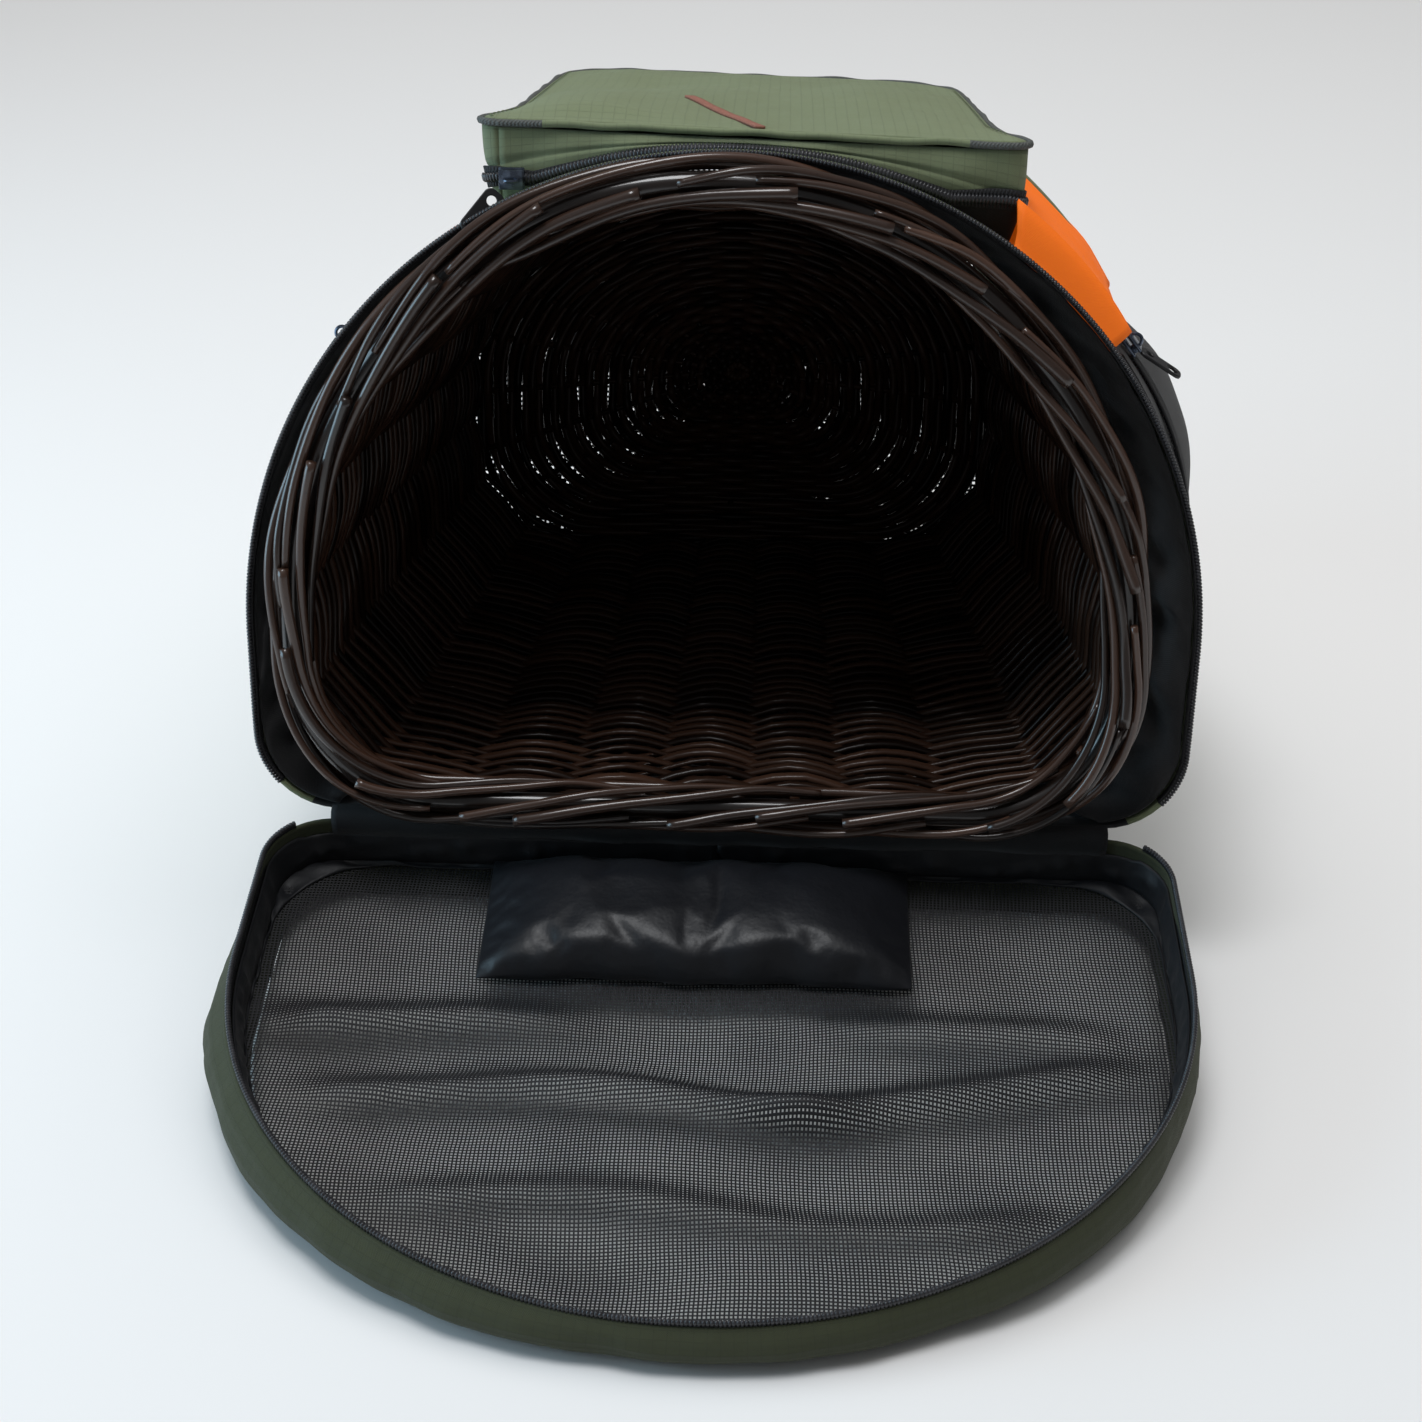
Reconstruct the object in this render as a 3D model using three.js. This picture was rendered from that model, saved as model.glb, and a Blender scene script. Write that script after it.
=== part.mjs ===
// Mushroom backpack: a wicker basket in an olive cloth bag, lying on its back with the lid open.
// Millimetres, +Z up. The floor is z = 0, the mouth faces -Y and the lid lies open towards -Y.
import * as THREE from 'three';
import { mergeVertices } from 'three/addons/utils/BufferGeometryUtils.js';

// Driving dimensions
const GAP = 0.3;
const SEAT = 0.6;
const LOOSE = 0.9;
const CLOTH = 2;
const LINING = 1;
const STATIONS = 42;
const LID_STATIONS = 36;
const HINGE_STATIONS = { bag: 7, lining: 6, lid: 6 };

// How the bag lies: the padded straps under it raise the mouth end
const BAG_TILT = THREE.MathUtils.degToRad(7.5);
const HINGE_LEVEL = 14;
const PAD_BOTTOM = 2;
const PAD_START = 27;
const PAD_END = 432;
const PAD_HALF = 118;
const PAD_ROUND = 30;
const PAD_BEVEL = 4;
const HINGE_HEIGHT = (HINGE_LEVEL - PAD_BOTTOM) * Math.cos(BAG_TILT) + PAD_END * Math.sin(BAG_TILT);

// D sections of the bag from the mouth to the foot; the flat side is the back
const SHELL = [
  { depth: 10, half: 214, widest: 104, top: 321, bottom: 16, corner: 38 },
  { depth: 70, half: 206, widest: 106, top: 307, bottom: 16, corner: 50 },
  { depth: 240, half: 195, widest: 114, top: 285, bottom: 16, corner: 58 },
  { depth: 400, half: 183, widest: 122, top: 268, bottom: 16, corner: 62 },
  { depth: 438, half: 174, widest: 124, top: 258, bottom: 18, corner: 64 },
];
const MOUTH = { depth: 0, half: 215, widest: 104, top: 322, bottom: 16, corner: 38 };
const BASKET = [
  { depth: 8.3, half: 195, widest: 108, top: 308, bottom: 18.4, corner: 76 },
  { depth: 140, half: 189, widest: 113, top: 290, bottom: 18.4, corner: 76 },
  { depth: 415, half: 165, widest: 126, top: 248, bottom: 18.4, corner: 76 },
];
const RIM = { depth: -4, half: 187, widest: 108, top: 304, bottom: 31, corner: 66 };
const BASKET_SHIFT = -6;
const WICKER = 7;
const WEAVE = { rings: 9, relief: 1.2 };
const BASE_DOME = 6;
const FOOT_DOME = 8;
const RIM_ROPE = { steps: 64, lobes: 4, crest: 12, valley: 9.4, turns: 13 };

// Main zip, in both halves: a tape that ends in a round coil
const ZIP = { tape: 9.5, thick: 1.4, coil: 3 };

// Lid: depth is the cloth wall's height, and where the floor is nearer the wall has sunk on itself
const LID = { depth: 0, half: 209, widest: 88, top: 274, bottom: -2, corner: 30 };
const LID_DEPTH = 48;
const LID_FRONT_HEIGHT = 22;
const LID_SLOPE = Math.asin((HINGE_HEIGHT - LID_FRONT_HEIGHT) / LID.top);
const LID_BULGE = { size: 8, lean: -4, from: 10, full: 120 };
const LID_FOOT = 4;
const LINING_STEP = 2;
const MESH_SHARE = 0.55;
const MESH_CENTRE = 125;
const MESH_CALM = { from: 8, to: 40, edge: 0.25 };
const MESH_WAVES = [
  { height: 1.9, across: 47, along: 21, phase: 0.4 },
  { height: 1.4, across: -31, along: 34, phase: 1.9 },
  { height: 1.1, across: 19, along: -43, phase: 0.9 },
];
const POUCH = { left: -106, right: 90, from: 9, to: 88, hem: 1.2, thick: 18, pucker: 2.2, puckers: 7 };

// Front pocket on top of the bag
const POCKET = {
  x: 10, near: 18, far: 276, nearHalf: 117, farHalf: 100, flare: 7, nearRound: 9, farRound: 42,
};
const POCKET_FACE = { level: 327, fall: 0.008, lean: -0.026, swell: 3 };
const POCKET_ZIP = { reach: 36, below: 20, height: 8, belowShare: 0.36, heightShare: 0.3 };
const POCKET_STATIONS = 36;
const PIPING = 2.1;
const PATCH = { x: 2, depth: 78, length: 98, width: 7, thick: 1.2, turn: -1.25 };

// Side panels and side pockets, as spans of arch angle and depth, standing off the shell
const SIDE_PANEL = {
  from: 0.86, to: 0.68, near: 15, far: 320, rise: 40, ridge: 96, bound: [0.04, 0.96], upright: 1,
  swell: (u) => 1 - 0.55 * u,
};
const SIDE_POCKET = {
  from: 0.645, to: -0.05, near: 22, far: 300, rise: 26, ridge: 120, upright: 0,
  swell: (u) => Math.sin(Math.PI * THREE.MathUtils.lerp(0.25, 0.94, u)),
};
const SIDE_FILL = { right: 1, left: 0.08 };
const BINDING = 1.6;
const SIDE_ZIP = { depth: 62, wide: 8, thick: 1.4, start: 0.08, end: 0.9, slider: 0.05, tabLean: 0.35 };

// Zip sliders and pull tabs
const SLIDER = { length: 11, width: 9, height: 5 };
const PULL = { length: 22, width: 10, thick: 1.6, hole: 3 };
const PULL_LEAN = { aside: 0.7, out: 1.3 };

// Harness under the bag
const STRAP = { wide: 68, thick: 14, edge: 6, top: 58, foot: 92, start: 150, turn: 52, end: 236 };
const LOCK = { wide: 36, long: 32, thick: 5, bar: 5 };
const WEBBING = { wide: 25, thick: 2.4, edge: 1, x: 136, rise: 334, seam: 404, end: 424 };
const HAUL = { half: 17, from: 34, reach: 44, wide: 12, thick: 2.4 };

// Colours and finishes
const cloth = (color, roughness = 0.9) => new THREE.MeshStandardMaterial({ color, roughness });
const MATERIALS = {
  olive: cloth('#5d6b4c'),
  orange: cloth('#ff7316', 0.75),
  black: cloth('#101113'),
  satin: cloth('#0b0c10', 0.35),
  mesh: cloth('#17191b'),
  willow: cloth('#3a2823', 0.35),
  piping: cloth('#3c3f42', 0.55),
  patch: cloth('#8a5a4c', 0.7),
  plastic: cloth('#141416', 0.45),
  metal: new THREE.MeshStandardMaterial({ color: '#56606e', roughness: 0.35, metalness: 0.8 }),
};

const lerp = THREE.MathUtils.lerp;
const smoothstep = THREE.MathUtils.smoothstep;
const range = (count) => Array.from({ length: count }, (_, i) => i);
const shares = (count) => range(count + 1).map((i) => i / count);

// Closed outlines and sections

function dPath({ half, widest, top, bottom, corner }) {
  const path = new THREE.Path();
  path.moveTo(0, bottom);
  path.lineTo(half - corner, bottom);
  path.absarc(half - corner, bottom + corner, corner, -Math.PI / 2, 0);
  path.lineTo(half, widest);
  path.absellipse(0, widest, half, top - widest, 0, Math.PI);
  path.lineTo(-half, bottom + corner);
  path.absarc(corner - half, bottom + corner, corner, Math.PI, 1.5 * Math.PI);
  path.lineTo(0, bottom);
  return path;
}

function sectionAt(table, depth) {
  const last = table.length - 2;
  const next = table.findIndex((row) => row.depth >= depth);
  const i = next < 0 ? last : Math.min(Math.max(next - 1, 0), last);
  const share = (depth - table[i].depth) / (table[i + 1].depth - table[i].depth);
  const columns = Object.keys(table[i]);
  return Object.fromEntries(columns.map((key) => [key, lerp(table[i][key], table[i + 1][key], share)]));
}

// Point at a share of the way round an outline, moved outwards along its normal
function outlinePoint(path, share, by) {
  const way = path.getTangentAt(share);
  return path.getPointAt(share).add(new THREE.Vector2(way.y, -way.x).multiplyScalar(by));
}

// Point of a section as a bag point: across x, up z, depth along y
function sectionPoint(section, share, by = 0) {
  const p = outlinePoint(dPath(section), share, by);
  return new THREE.Vector3(p.x, section.depth, p.y);
}

// Closed solids from rows of points

function solid(points, triangles) {
  const raw = new THREE.BufferGeometry();
  raw.setAttribute('position', new THREE.Float32BufferAttribute(points.flatMap((p) => p.toArray()), 3));
  raw.setIndex(triangles.flat());
  const geometry = mergeVertices(raw, 1e-3);
  const place = geometry.getAttribute('position');
  const index = geometry.getIndex().array;
  const faces = range(index.length / 3).map((i) => [index[3 * i], index[3 * i + 1], index[3 * i + 2]]);
  const kept = faces.filter(([a, b, c]) => a !== b && b !== c && c !== a);
  const corner = (i) => new THREE.Vector3().fromBufferAttribute(place, i);
  const volume = kept.reduce((sum, [a, b, c]) => sum + corner(a).cross(corner(b)).dot(corner(c)), 0);
  geometry.setIndex((volume < 0 ? kept.map(([a, b, c]) => [a, c, b]) : kept).flat());
  geometry.computeVertexNormals();
  return geometry;
}

// Skin over a row of closed rings; an open row gets a flat cap at each end
function skin(rings, closed = false) {
  const size = rings[0].length;
  const spans = closed ? rings.length : rings.length - 1;
  const at = (ring, i) => (ring % rings.length) * size + (i % size);
  const points = rings.flat();
  const triangles = [];
  for (const r of range(spans)) {
    for (const i of range(size)) {
      const [a, b, c, d] = [at(r, i), at(r + 1, i), at(r + 1, i + 1), at(r, i + 1)];
      // The shorter diagonal, so that nested walls are folded alike
      const alongAC = points[a].distanceTo(points[c]) <= points[b].distanceTo(points[d]);
      triangles.push(...(alongAC ? [[a, b, c], [a, c, d]] : [[a, b, d], [b, c, d]]));
    }
  }
  if (!closed) {
    const last = rings.length - 1;
    // A section runs up one side and back down the other, so its cap is a strip between the sides
    for (const i of range(size / 2 - 1)) {
      const [a, b, c, d] = [i, i + 1, size - 2 - i, size - 1 - i];
      triangles.push([at(0, a), at(0, b), at(0, c)], [at(0, a), at(0, c), at(0, d)]);
      triangles.push([at(last, a), at(last, c), at(last, b)], [at(last, a), at(last, d), at(last, c)]);
    }
  }
  return solid(points, triangles);
}

// Wall with two faces: each station gives its outer points and its inner points in the same order
function wall(stations, closed = false) {
  return skin(stations.map(({ outer, inner }) => [...outer, ...[...inner].reverse()]), closed);
}

// Round tube along points, with the section's plane set by the way along and a fixed side
function tube(points, radius, sides, closed = false) {
  const count = points.length;
  const rings = points.map((p, i) => {
    const ahead = points[closed ? (i + 1) % count : Math.min(i + 1, count - 1)];
    const behind = points[closed ? (i + count - 1) % count : Math.max(i - 1, 0)];
    const way = ahead.clone().sub(behind).normalize();
    const side = new THREE.Vector3(0, 0, 1).addScaledVector(way, -way.z).normalize();
    const across = new THREE.Vector3().crossVectors(way, side);
    return range(sides).map((s) => {
      const a = (2 * Math.PI * (s + 0.5)) / sides;
      const ring = p.clone().addScaledVector(side, radius * Math.cos(a));
      return ring.addScaledVector(across, radius * Math.sin(a));
    });
  });
  return skin(rings, closed);
}

// Flat band along a path in the YZ plane: width lies along x, thickness stands on the path
function band(points, wide, thick, edge) {
  const rings = points.map((p, i) => {
    const way = points[Math.min(i + 1, points.length - 1)].clone().sub(points[Math.max(i - 1, 0)]);
    const up = new THREE.Vector3(0, -way.z, way.y).normalize();
    const half = wide / 2;
    const lift = thick / 2;
    const flat = half - edge;
    const outline = [[-half, 0], [-flat, lift], [flat, lift], [half, 0], [flat, -lift], [-flat, -lift]];
    return outline.map(([x, z]) => p.clone().addScaledVector(up, z).add(new THREE.Vector3(x, 0, 0)));
  });
  return skin(rings);
}

const bag = new THREE.Group();
const lid = new THREE.Group();
const harness = new THREE.Group();

function piece(parent, name, geometry, material) {
  const mesh = new THREE.Mesh(geometry, MATERIALS[material]);
  mesh.name = name;
  parent.add(mesh);
  return mesh;
}

// Basket: woven wall, base and rolled rim

const basket = new THREE.Group();
basket.position.x = BASKET_SHIFT;
bag.add(basket);

function wovenStation(i) {
  const share = i / STATIONS;
  const deep = BASKET.at(-1).depth;
  const rows = shares(WEAVE.rings - 1).map((k, row) => {
    const section = sectionAt(BASKET, lerp(BASKET[0].depth, deep, k));
    const edge = row === 0 || row === WEAVE.rings - 1;
    const relief = edge ? 0 : WEAVE.relief * ((i + row) % 2 ? 1 : -1);
    const outer = sectionPoint(section, share, relief - WEAVE.relief);
    const inner = sectionPoint(section, share, relief - WEAVE.relief - WICKER);
    return { outer, inner };
  });
  return { outer: rows.map((row) => row.outer), inner: rows.map((row) => row.inner) };
}

function basketWall() {
  return wall(range(STATIONS).map(wovenStation), true);
}

// Sheet over a D outline: rows of points from the middle to the edge, two faces
function discSheet(count, edgePoint, middle, steps, shape) {
  return wall(range(count).map((i) => {
    const edge = edgePoint(i / count);
    const flat = shares(steps).map((share) => middle.clone().lerp(edge, share));
    const row = (face) => flat.map((p, k) => shape(p, k / steps, face));
    return { outer: row(1), inner: row(0) };
  }), true);
}

function basketBase() {
  const foot = BASKET.at(-1);
  const seat = -WICKER - WEAVE.relief - SEAT;
  const middle = new THREE.Vector3(0, foot.depth, (foot.top + foot.bottom) / 2);
  return discSheet(STATIONS, (share) => sectionPoint(foot, share, seat), middle, 2, (p, k, face) => {
    const depth = foot.depth - WICKER * face - BASE_DOME * (1 - k * k);
    return new THREE.Vector3(p.x, depth, p.z);
  });
}

// The border rods run round the mouth as one laid rope of a few strands
function basketRim() {
  const { steps, lobes, crest, valley, turns } = RIM_ROPE;
  const count = 2 * lobes;
  const centre = range(steps).map((i) => sectionPoint(RIM, i / steps));
  return skin(centre.map((p, i) => {
    const way = centre[(i + 1) % steps].clone().sub(centre[(i + steps - 1) % steps]).normalize();
    const out = new THREE.Vector3(way.z, 0, -way.x);
    const twist = (2 * Math.PI * turns * i) / (steps * lobes);
    return range(count).map((s) => {
      const a = (2 * Math.PI * s) / count + twist;
      const radius = s % 2 ? valley : crest;
      const ring = p.clone().addScaledVector(out, radius * Math.cos(a));
      return ring.add(new THREE.Vector3(0, radius * Math.sin(a), 0));
    });
  }), true);
}

piece(basket, 'basket_wall', basketWall(), 'willow');
piece(basket, 'basket_base', basketBase(), 'willow');
piece(basket, 'basket_rim', basketRim(), 'willow');

// Bag: cloth sleeve, foot panel, mouth lining, zip and padded back

function sleeve(table, thick) {
  return wall(range(STATIONS).map((i) => ({
    outer: table.map((section) => sectionPoint(section, i / STATIONS)),
    inner: table.map((section) => sectionPoint(section, i / STATIONS, -thick)),
  })), true);
}

function bagBottom() {
  const foot = SHELL.at(-1);
  const start = foot.depth + GAP;
  const middle = new THREE.Vector3(0, start, (foot.top + foot.bottom) / 2);
  return discSheet(STATIONS, (share) => sectionPoint(foot, share), middle, 2, (p, k, face) => {
    return new THREE.Vector3(p.x, start + CLOTH * face + FOOT_DOME * (1 - k * k), p.z);
  });
}

// Open stretch of a D outline, from one end of the hinge over the arch to the other
function archShares(count, skipped) {
  return range(count - 2 * skipped + 1).map((i) => (i + skipped) / count);
}

function mouthLining() {
  return wall(archShares(STATIONS, HINGE_STATIONS.lining).map((share) => ({
    outer: SHELL.slice(0, 2).map((section) => sectionPoint(section, share, -CLOTH - LOOSE)),
    inner: SHELL.slice(0, 2).map((section) => sectionPoint(section, share, -CLOTH - LOOSE - LINING)),
  })));
}

// Zip half along an arch: tape from the cloth's edge, then the coil as a thicker bead at the free edge
function zipBand(spots, place) {
  const { tape, thick, coil } = ZIP;
  const rows = [
    { along: 0, rise: coil / 2 },
    { along: coil, rise: coil / 2 },
    { along: tape, rise: thick / 2 },
  ];
  const middle = CLOTH / 2;
  return wall(spots.map((share) => ({
    outer: rows.map(({ along, rise }) => place(share, rise - middle, along)),
    inner: rows.map(({ along, rise }) => place(share, -rise - middle, along)),
  })));
}

function mainZipBag() {
  return zipBand(archShares(STATIONS, HINGE_STATIONS.bag), (share, by, along) => {
    return sectionPoint({ ...MOUTH, depth: along }, share, by);
  });
}

function roundedRectangle(left, right, low, high, nearRound, farRound) {
  const shape = new THREE.Shape();
  shape.moveTo(left + nearRound, low);
  shape.lineTo(right - nearRound, low);
  shape.absarc(right - nearRound, low + nearRound, nearRound, -Math.PI / 2, 0);
  shape.lineTo(right, high - farRound);
  shape.absarc(right - farRound, high - farRound, farRound, 0, Math.PI / 2);
  shape.lineTo(left + farRound, high);
  shape.absarc(left + farRound, high - farRound, farRound, Math.PI / 2, Math.PI);
  shape.lineTo(left, low + nearRound);
  shape.absarc(left + nearRound, low + nearRound, nearRound, Math.PI, 1.5 * Math.PI);
  return shape;
}

function backPad() {
  const bevel = PAD_BEVEL;
  const half = PAD_HALF - bevel;
  const thick = SHELL[0].bottom - GAP - PAD_BOTTOM;
  const outline = roundedRectangle(-half, half, PAD_START + bevel, PAD_END - bevel, PAD_ROUND, PAD_ROUND);
  const geometry = new THREE.ExtrudeGeometry(outline, {
    depth: thick - 2 * bevel, bevelThickness: bevel, bevelSize: bevel, bevelSegments: 1, curveSegments: 4,
  });
  return geometry.translate(0, 0, PAD_BOTTOM + bevel);
}

piece(bag, 'bag_shell', sleeve(SHELL, CLOTH), 'olive');
piece(bag, 'bag_bottom', bagBottom(), 'black');
piece(bag, 'mouth_lining', mouthLining(), 'black');
piece(bag, 'main_zip_bag', mainZipBag(), 'black');
piece(bag, 'back_pad', backPad(), 'black');

// Points on the outside of the shell, by the arch's angle from the side, and the way out there
function archPoint(angle, depth, off) {
  const { half, widest, top } = sectionAt(SHELL, depth);
  const rise = top - widest;
  const out = new THREE.Vector3(Math.cos(angle) / half, 0, Math.sin(angle) / rise).normalize();
  const point = new THREE.Vector3(half * Math.cos(angle), depth, widest + rise * Math.sin(angle));
  return point.addScaledVector(out, off);
}

function shellLevel(x, depth) {
  const { half, widest, top } = sectionAt(SHELL, depth);
  return widest + (top - widest) * Math.sqrt(1 - (x / half) ** 2);
}

// Front pocket: piped face, gusset, zip round the mouth end and a blank patch

const pocketPath = roundedRectangle(
  -POCKET.nearHalf, POCKET.nearHalf, POCKET.near, POCKET.far, POCKET.nearRound, POCKET.farRound,
);
const pocketAcross = (x) => (x - POCKET.x) / POCKET.nearHalf;

// Outline point of the face at a share of the way round; by moves it outwards
function pocketPoint(share, by) {
  const p = outlinePoint(pocketPath, share, by);
  const far = (p.y - POCKET.near) / (POCKET.far - POCKET.near);
  return p.setX(POCKET.x + p.x * lerp(1, POCKET.farHalf / POCKET.nearHalf, far));
}

function faceLevel(x, depth) {
  const { level, fall, lean, swell } = POCKET_FACE;
  const along = (depth - POCKET.near) / (POCKET.far - POCKET.near);
  const puff = swell * (1 - pocketAcross(x) ** 2) * Math.sin(Math.PI * along);
  return level - fall * (depth - POCKET.near) + lean * x + puff;
}

// Levels on the pocket's side, from the shell up to the piping; the arch leaves less room in the middle
function gussetLevels(x, depth) {
  const low = shellLevel(x, depth) + SEAT;
  const high = faceLevel(x, depth) - PIPING - GAP;
  const zipTop = high - Math.min(POCKET_ZIP.below, (high - low) * POCKET_ZIP.belowShare);
  const zipLow = zipTop - Math.min(POCKET_ZIP.height, (high - low) * POCKET_ZIP.heightShare);
  return { low, high, zipTop, zipLow };
}

// Points of one station between two levels; the side leans out by the flare at the shell
function gussetRow(share, by, from, to) {
  const head = pocketPoint(share, by);
  const levels = gussetLevels(head.x, head.y);
  const { low, high } = levels;
  const foot = pocketPoint(share, by + POCKET.flare * Math.min(1, (high - low) / POCKET_ZIP.below));
  return shares(2).map((up) => {
    const level = lerp(levels[from], levels[to], up);
    const plan = foot.clone().lerp(head, (level - low) / (high - low));
    return new THREE.Vector3(plan.x, plan.y, Math.max(level, shellLevel(plan.x, plan.y) + SEAT));
  });
}

const atZip = (share) => pocketPoint(share, 0).y < POCKET_ZIP.reach;
const pocketShares = range(POCKET_STATIONS).map((i) => i / POCKET_STATIONS);

function pocketGusset() {
  return wall(pocketShares.map((share) => {
    const from = atZip(share) ? 'zipTop' : 'low';
    return { outer: gussetRow(share, 0, from, 'high'), inner: gussetRow(share, -CLOTH, from, 'high') };
  }), true);
}

// Strip of the mouth end's side between two levels, moved by a clearance at its upper edge
function pocketStrip(from, to) {
  return wall(pocketShares.filter(atZip).map((share) => {
    const row = (by) => {
      const points = gussetRow(share, by, from, to);
      points.at(-1).z -= GAP;
      return points;
    };
    return { outer: row(0), inner: row(-CLOTH) };
  }));
}

function pocketFace() {
  const middle = new THREE.Vector3(POCKET.x, (POCKET.near + POCKET.far) / 2, 0);
  const edge = (share) => {
    const p = pocketPoint(share, -PIPING - 2 * LOOSE);
    return new THREE.Vector3(p.x, p.y, 0);
  };
  return discSheet(POCKET_STATIONS, edge, middle, 3, (p, k, face) => {
    return new THREE.Vector3(p.x, p.y, faceLevel(p.x, p.y) + CLOTH * (face - 0.5));
  });
}

function pocketPiping() {
  const points = range(POCKET_STATIONS).map((i) => {
    const p = pocketPoint(i / POCKET_STATIONS, 0);
    return new THREE.Vector3(p.x, p.y, faceLevel(p.x, p.y));
  });
  return tube(points, PIPING, 5, true);
}

function pocketPatch() {
  const { x, depth, length, width, thick, turn } = PATCH;
  const corner = (along, across) => {
    const px = x + along * Math.cos(turn) - across * Math.sin(turn);
    const py = depth + along * Math.sin(turn) + across * Math.cos(turn);
    return new THREE.Vector3(px, py, 0);
  };
  const lift = (p, up) => p.setZ(faceLevel(p.x, p.y) + CLOTH / 2 + SEAT + up);
  return wall(shares(6).map((a) => {
    const row = (up) => shares(3).map((b) => lift(corner((a - 0.5) * length, (b - 0.5) * width), up));
    return { outer: row(thick), inner: row(0) };
  }));
}

piece(bag, 'front_pocket_face', pocketFace(), 'olive');
piece(bag, 'front_pocket_gusset', pocketGusset(), 'olive');
piece(bag, 'front_pocket_piping', pocketPiping(), 'piping');
piece(bag, 'front_pocket_zip', pocketStrip('zipLow', 'zipTop'), 'black');
piece(bag, 'front_pocket_base', pocketStrip('low', 'zipLow'), 'olive');
piece(bag, 'front_pocket_patch', pocketPatch(), 'patch');

// Sides: orange panel with a bound ridge, and a dark pocket with its zip

// Point of a side piece, u of the way down its span and up from its inner face
// It swells up from the mouth to the ridge, then slowly goes down towards the foot
function sidePoint({ span, fill, mirror }, u, depth, up) {
  const { from, to, near, far, ridge, rise, upright, swell } = span;
  const along = depth < ridge ? smoothstep(depth, near, ridge) : 1 - smoothstep(depth, ridge, far);
  const angle = lerp(from, to, u);
  const p = archPoint(angle, depth, SEAT + up);
  const out = archPoint(angle, depth, 1).sub(archPoint(angle, depth, 0));
  const lift = new THREE.Vector3(0, 0, 1).lerp(out, Math.max(u, 1 - upright)).normalize();
  p.addScaledVector(lift, rise * fill * along * swell(u));
  return p.setX(p.x * mirror);
}

function sidePatch(side) {
  const { near, far } = side.span;
  return wall(shares(7).map((v) => {
    const row = (up) => shares(6).map((u) => sidePoint(side, u, lerp(near, far, v), up));
    return { outer: row(CLOTH), inner: row(0) };
  }));
}

function sideBinding(side) {
  const seat = CLOTH + BINDING + GAP - LOOSE * side.fill;
  const spots = shares(9).map((share) => lerp(...side.span.bound, share));
  return tube(spots.map((u) => sidePoint(side, u, side.span.ridge, seat)), BINDING, 6);
}

function sideZip(side) {
  const { depth, wide, thick, start, end } = SIDE_ZIP;
  return wall(shares(8).map((share) => {
    const row = (up) => [0, wide].map((along) => {
      return sidePoint(side, lerp(start, end, share), depth + along, CLOTH + 2 * GAP + up);
    });
    return { outer: row(thick), inner: row(0) };
  }));
}

function sliderBody() {
  const { length, width, height } = SLIDER;
  return new THREE.BoxGeometry(width, length, height);
}

function pullTab() {
  const { length, width, thick, hole } = PULL;
  const shape = roundedRectangle(-width / 2, width / 2, 0, length, width * 0.3, width * 0.45);
  for (const [y, radius] of [[length * 0.2, hole * 0.7], [length * 0.78, hole]]) {
    shape.holes.push(new THREE.Path().absarc(0, y, radius, 0, 2 * Math.PI, true));
  }
  const geometry = new THREE.ExtrudeGeometry(shape, { depth: thick, bevelEnabled: false, curveSegments: 3 });
  return geometry.translate(0, 0, -thick / 2);
}

// A slider and its tab: the slider's own axes are the way along the zip and the way out of the cloth
function slider(name, spot, along, out) {
  const body = piece(bag, `${name}_slider`, sliderBody(), 'metal');
  body.position.copy(spot).addScaledVector(out, SLIDER.height / 2);
  body.quaternion.setFromRotationMatrix(facing(along, out));
}

function pull(name, spot, along, out) {
  const tab = piece(bag, `${name}_pull`, pullTab(), 'plastic');
  tab.position.copy(spot);
  tab.quaternion.setFromRotationMatrix(facing(along, out));
}

// Axes for a small part: y runs along, z faces out
function facing(along, out) {
  const y = along.clone().normalize();
  const x = new THREE.Vector3().crossVectors(y, out).normalize();
  return new THREE.Matrix4().makeBasis(x, y, new THREE.Vector3().crossVectors(x, y));
}

function pocketSlider() {
  const [low, , high] = gussetRow(0, 0, 'zipLow', 'zipTop');
  const along = new THREE.Vector3(1, 0, 0);
  const out = along.clone().cross(high.clone().sub(low)).normalize();
  const spot = low.clone().lerp(high, 0.5).addScaledVector(out, SEAT);
  slider('front_pocket', spot, along, out);
  const hang = new THREE.Vector3(-PULL_LEAN.aside, -PULL_LEAN.out, -1).normalize();
  const drop = SLIDER.width / 2 + SEAT;
  const from = spot.clone().addScaledVector(out, SLIDER.height + LOOSE);
  from.add(new THREE.Vector3(-SLIDER.length / 2, 0, -drop));
  pull('front_pocket', from, hang, out);
}

function sideSlider(name, side) {
  const { depth, wide, thick } = SIDE_ZIP;
  const middle = depth + wide / 2;
  const seat = CLOTH + 2 * GAP + thick + LOOSE;
  const spot = sidePoint(side, SIDE_ZIP.slider, middle, seat);
  const down = sidePoint(side, 2 * SIDE_ZIP.slider, middle, seat).sub(spot).normalize();
  const deeper = sidePoint(side, SIDE_ZIP.slider, middle + wide, seat).sub(spot);
  const out = down.clone().cross(deeper).multiplyScalar(side.mirror).normalize();
  slider(name, spot, down, out);
  const from = spot.clone().addScaledVector(out, SLIDER.height / 2);
  from.addScaledVector(down, SLIDER.length / 2 + GAP);
  pull(name, from, down.clone().addScaledVector(out, SIDE_ZIP.tabLean * side.fill), out);
}

pocketSlider();

for (const [side, mirror] of [['right', 1], ['left', -1]]) {
  const fill = SIDE_FILL[side];
  const panel = { span: SIDE_PANEL, fill, mirror };
  const pocket = { span: SIDE_POCKET, fill, mirror };
  piece(bag, `side_panel_${side}`, sidePatch(panel), 'orange');
  piece(bag, `side_binding_${side}`, sideBinding(panel), 'olive');
  piece(bag, `side_pocket_${side}`, sidePatch(pocket), 'black');
  piece(bag, `side_zip_${side}`, sideZip(pocket), 'black');
  sideSlider(`side_${side}`, pocket);
}

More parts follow.
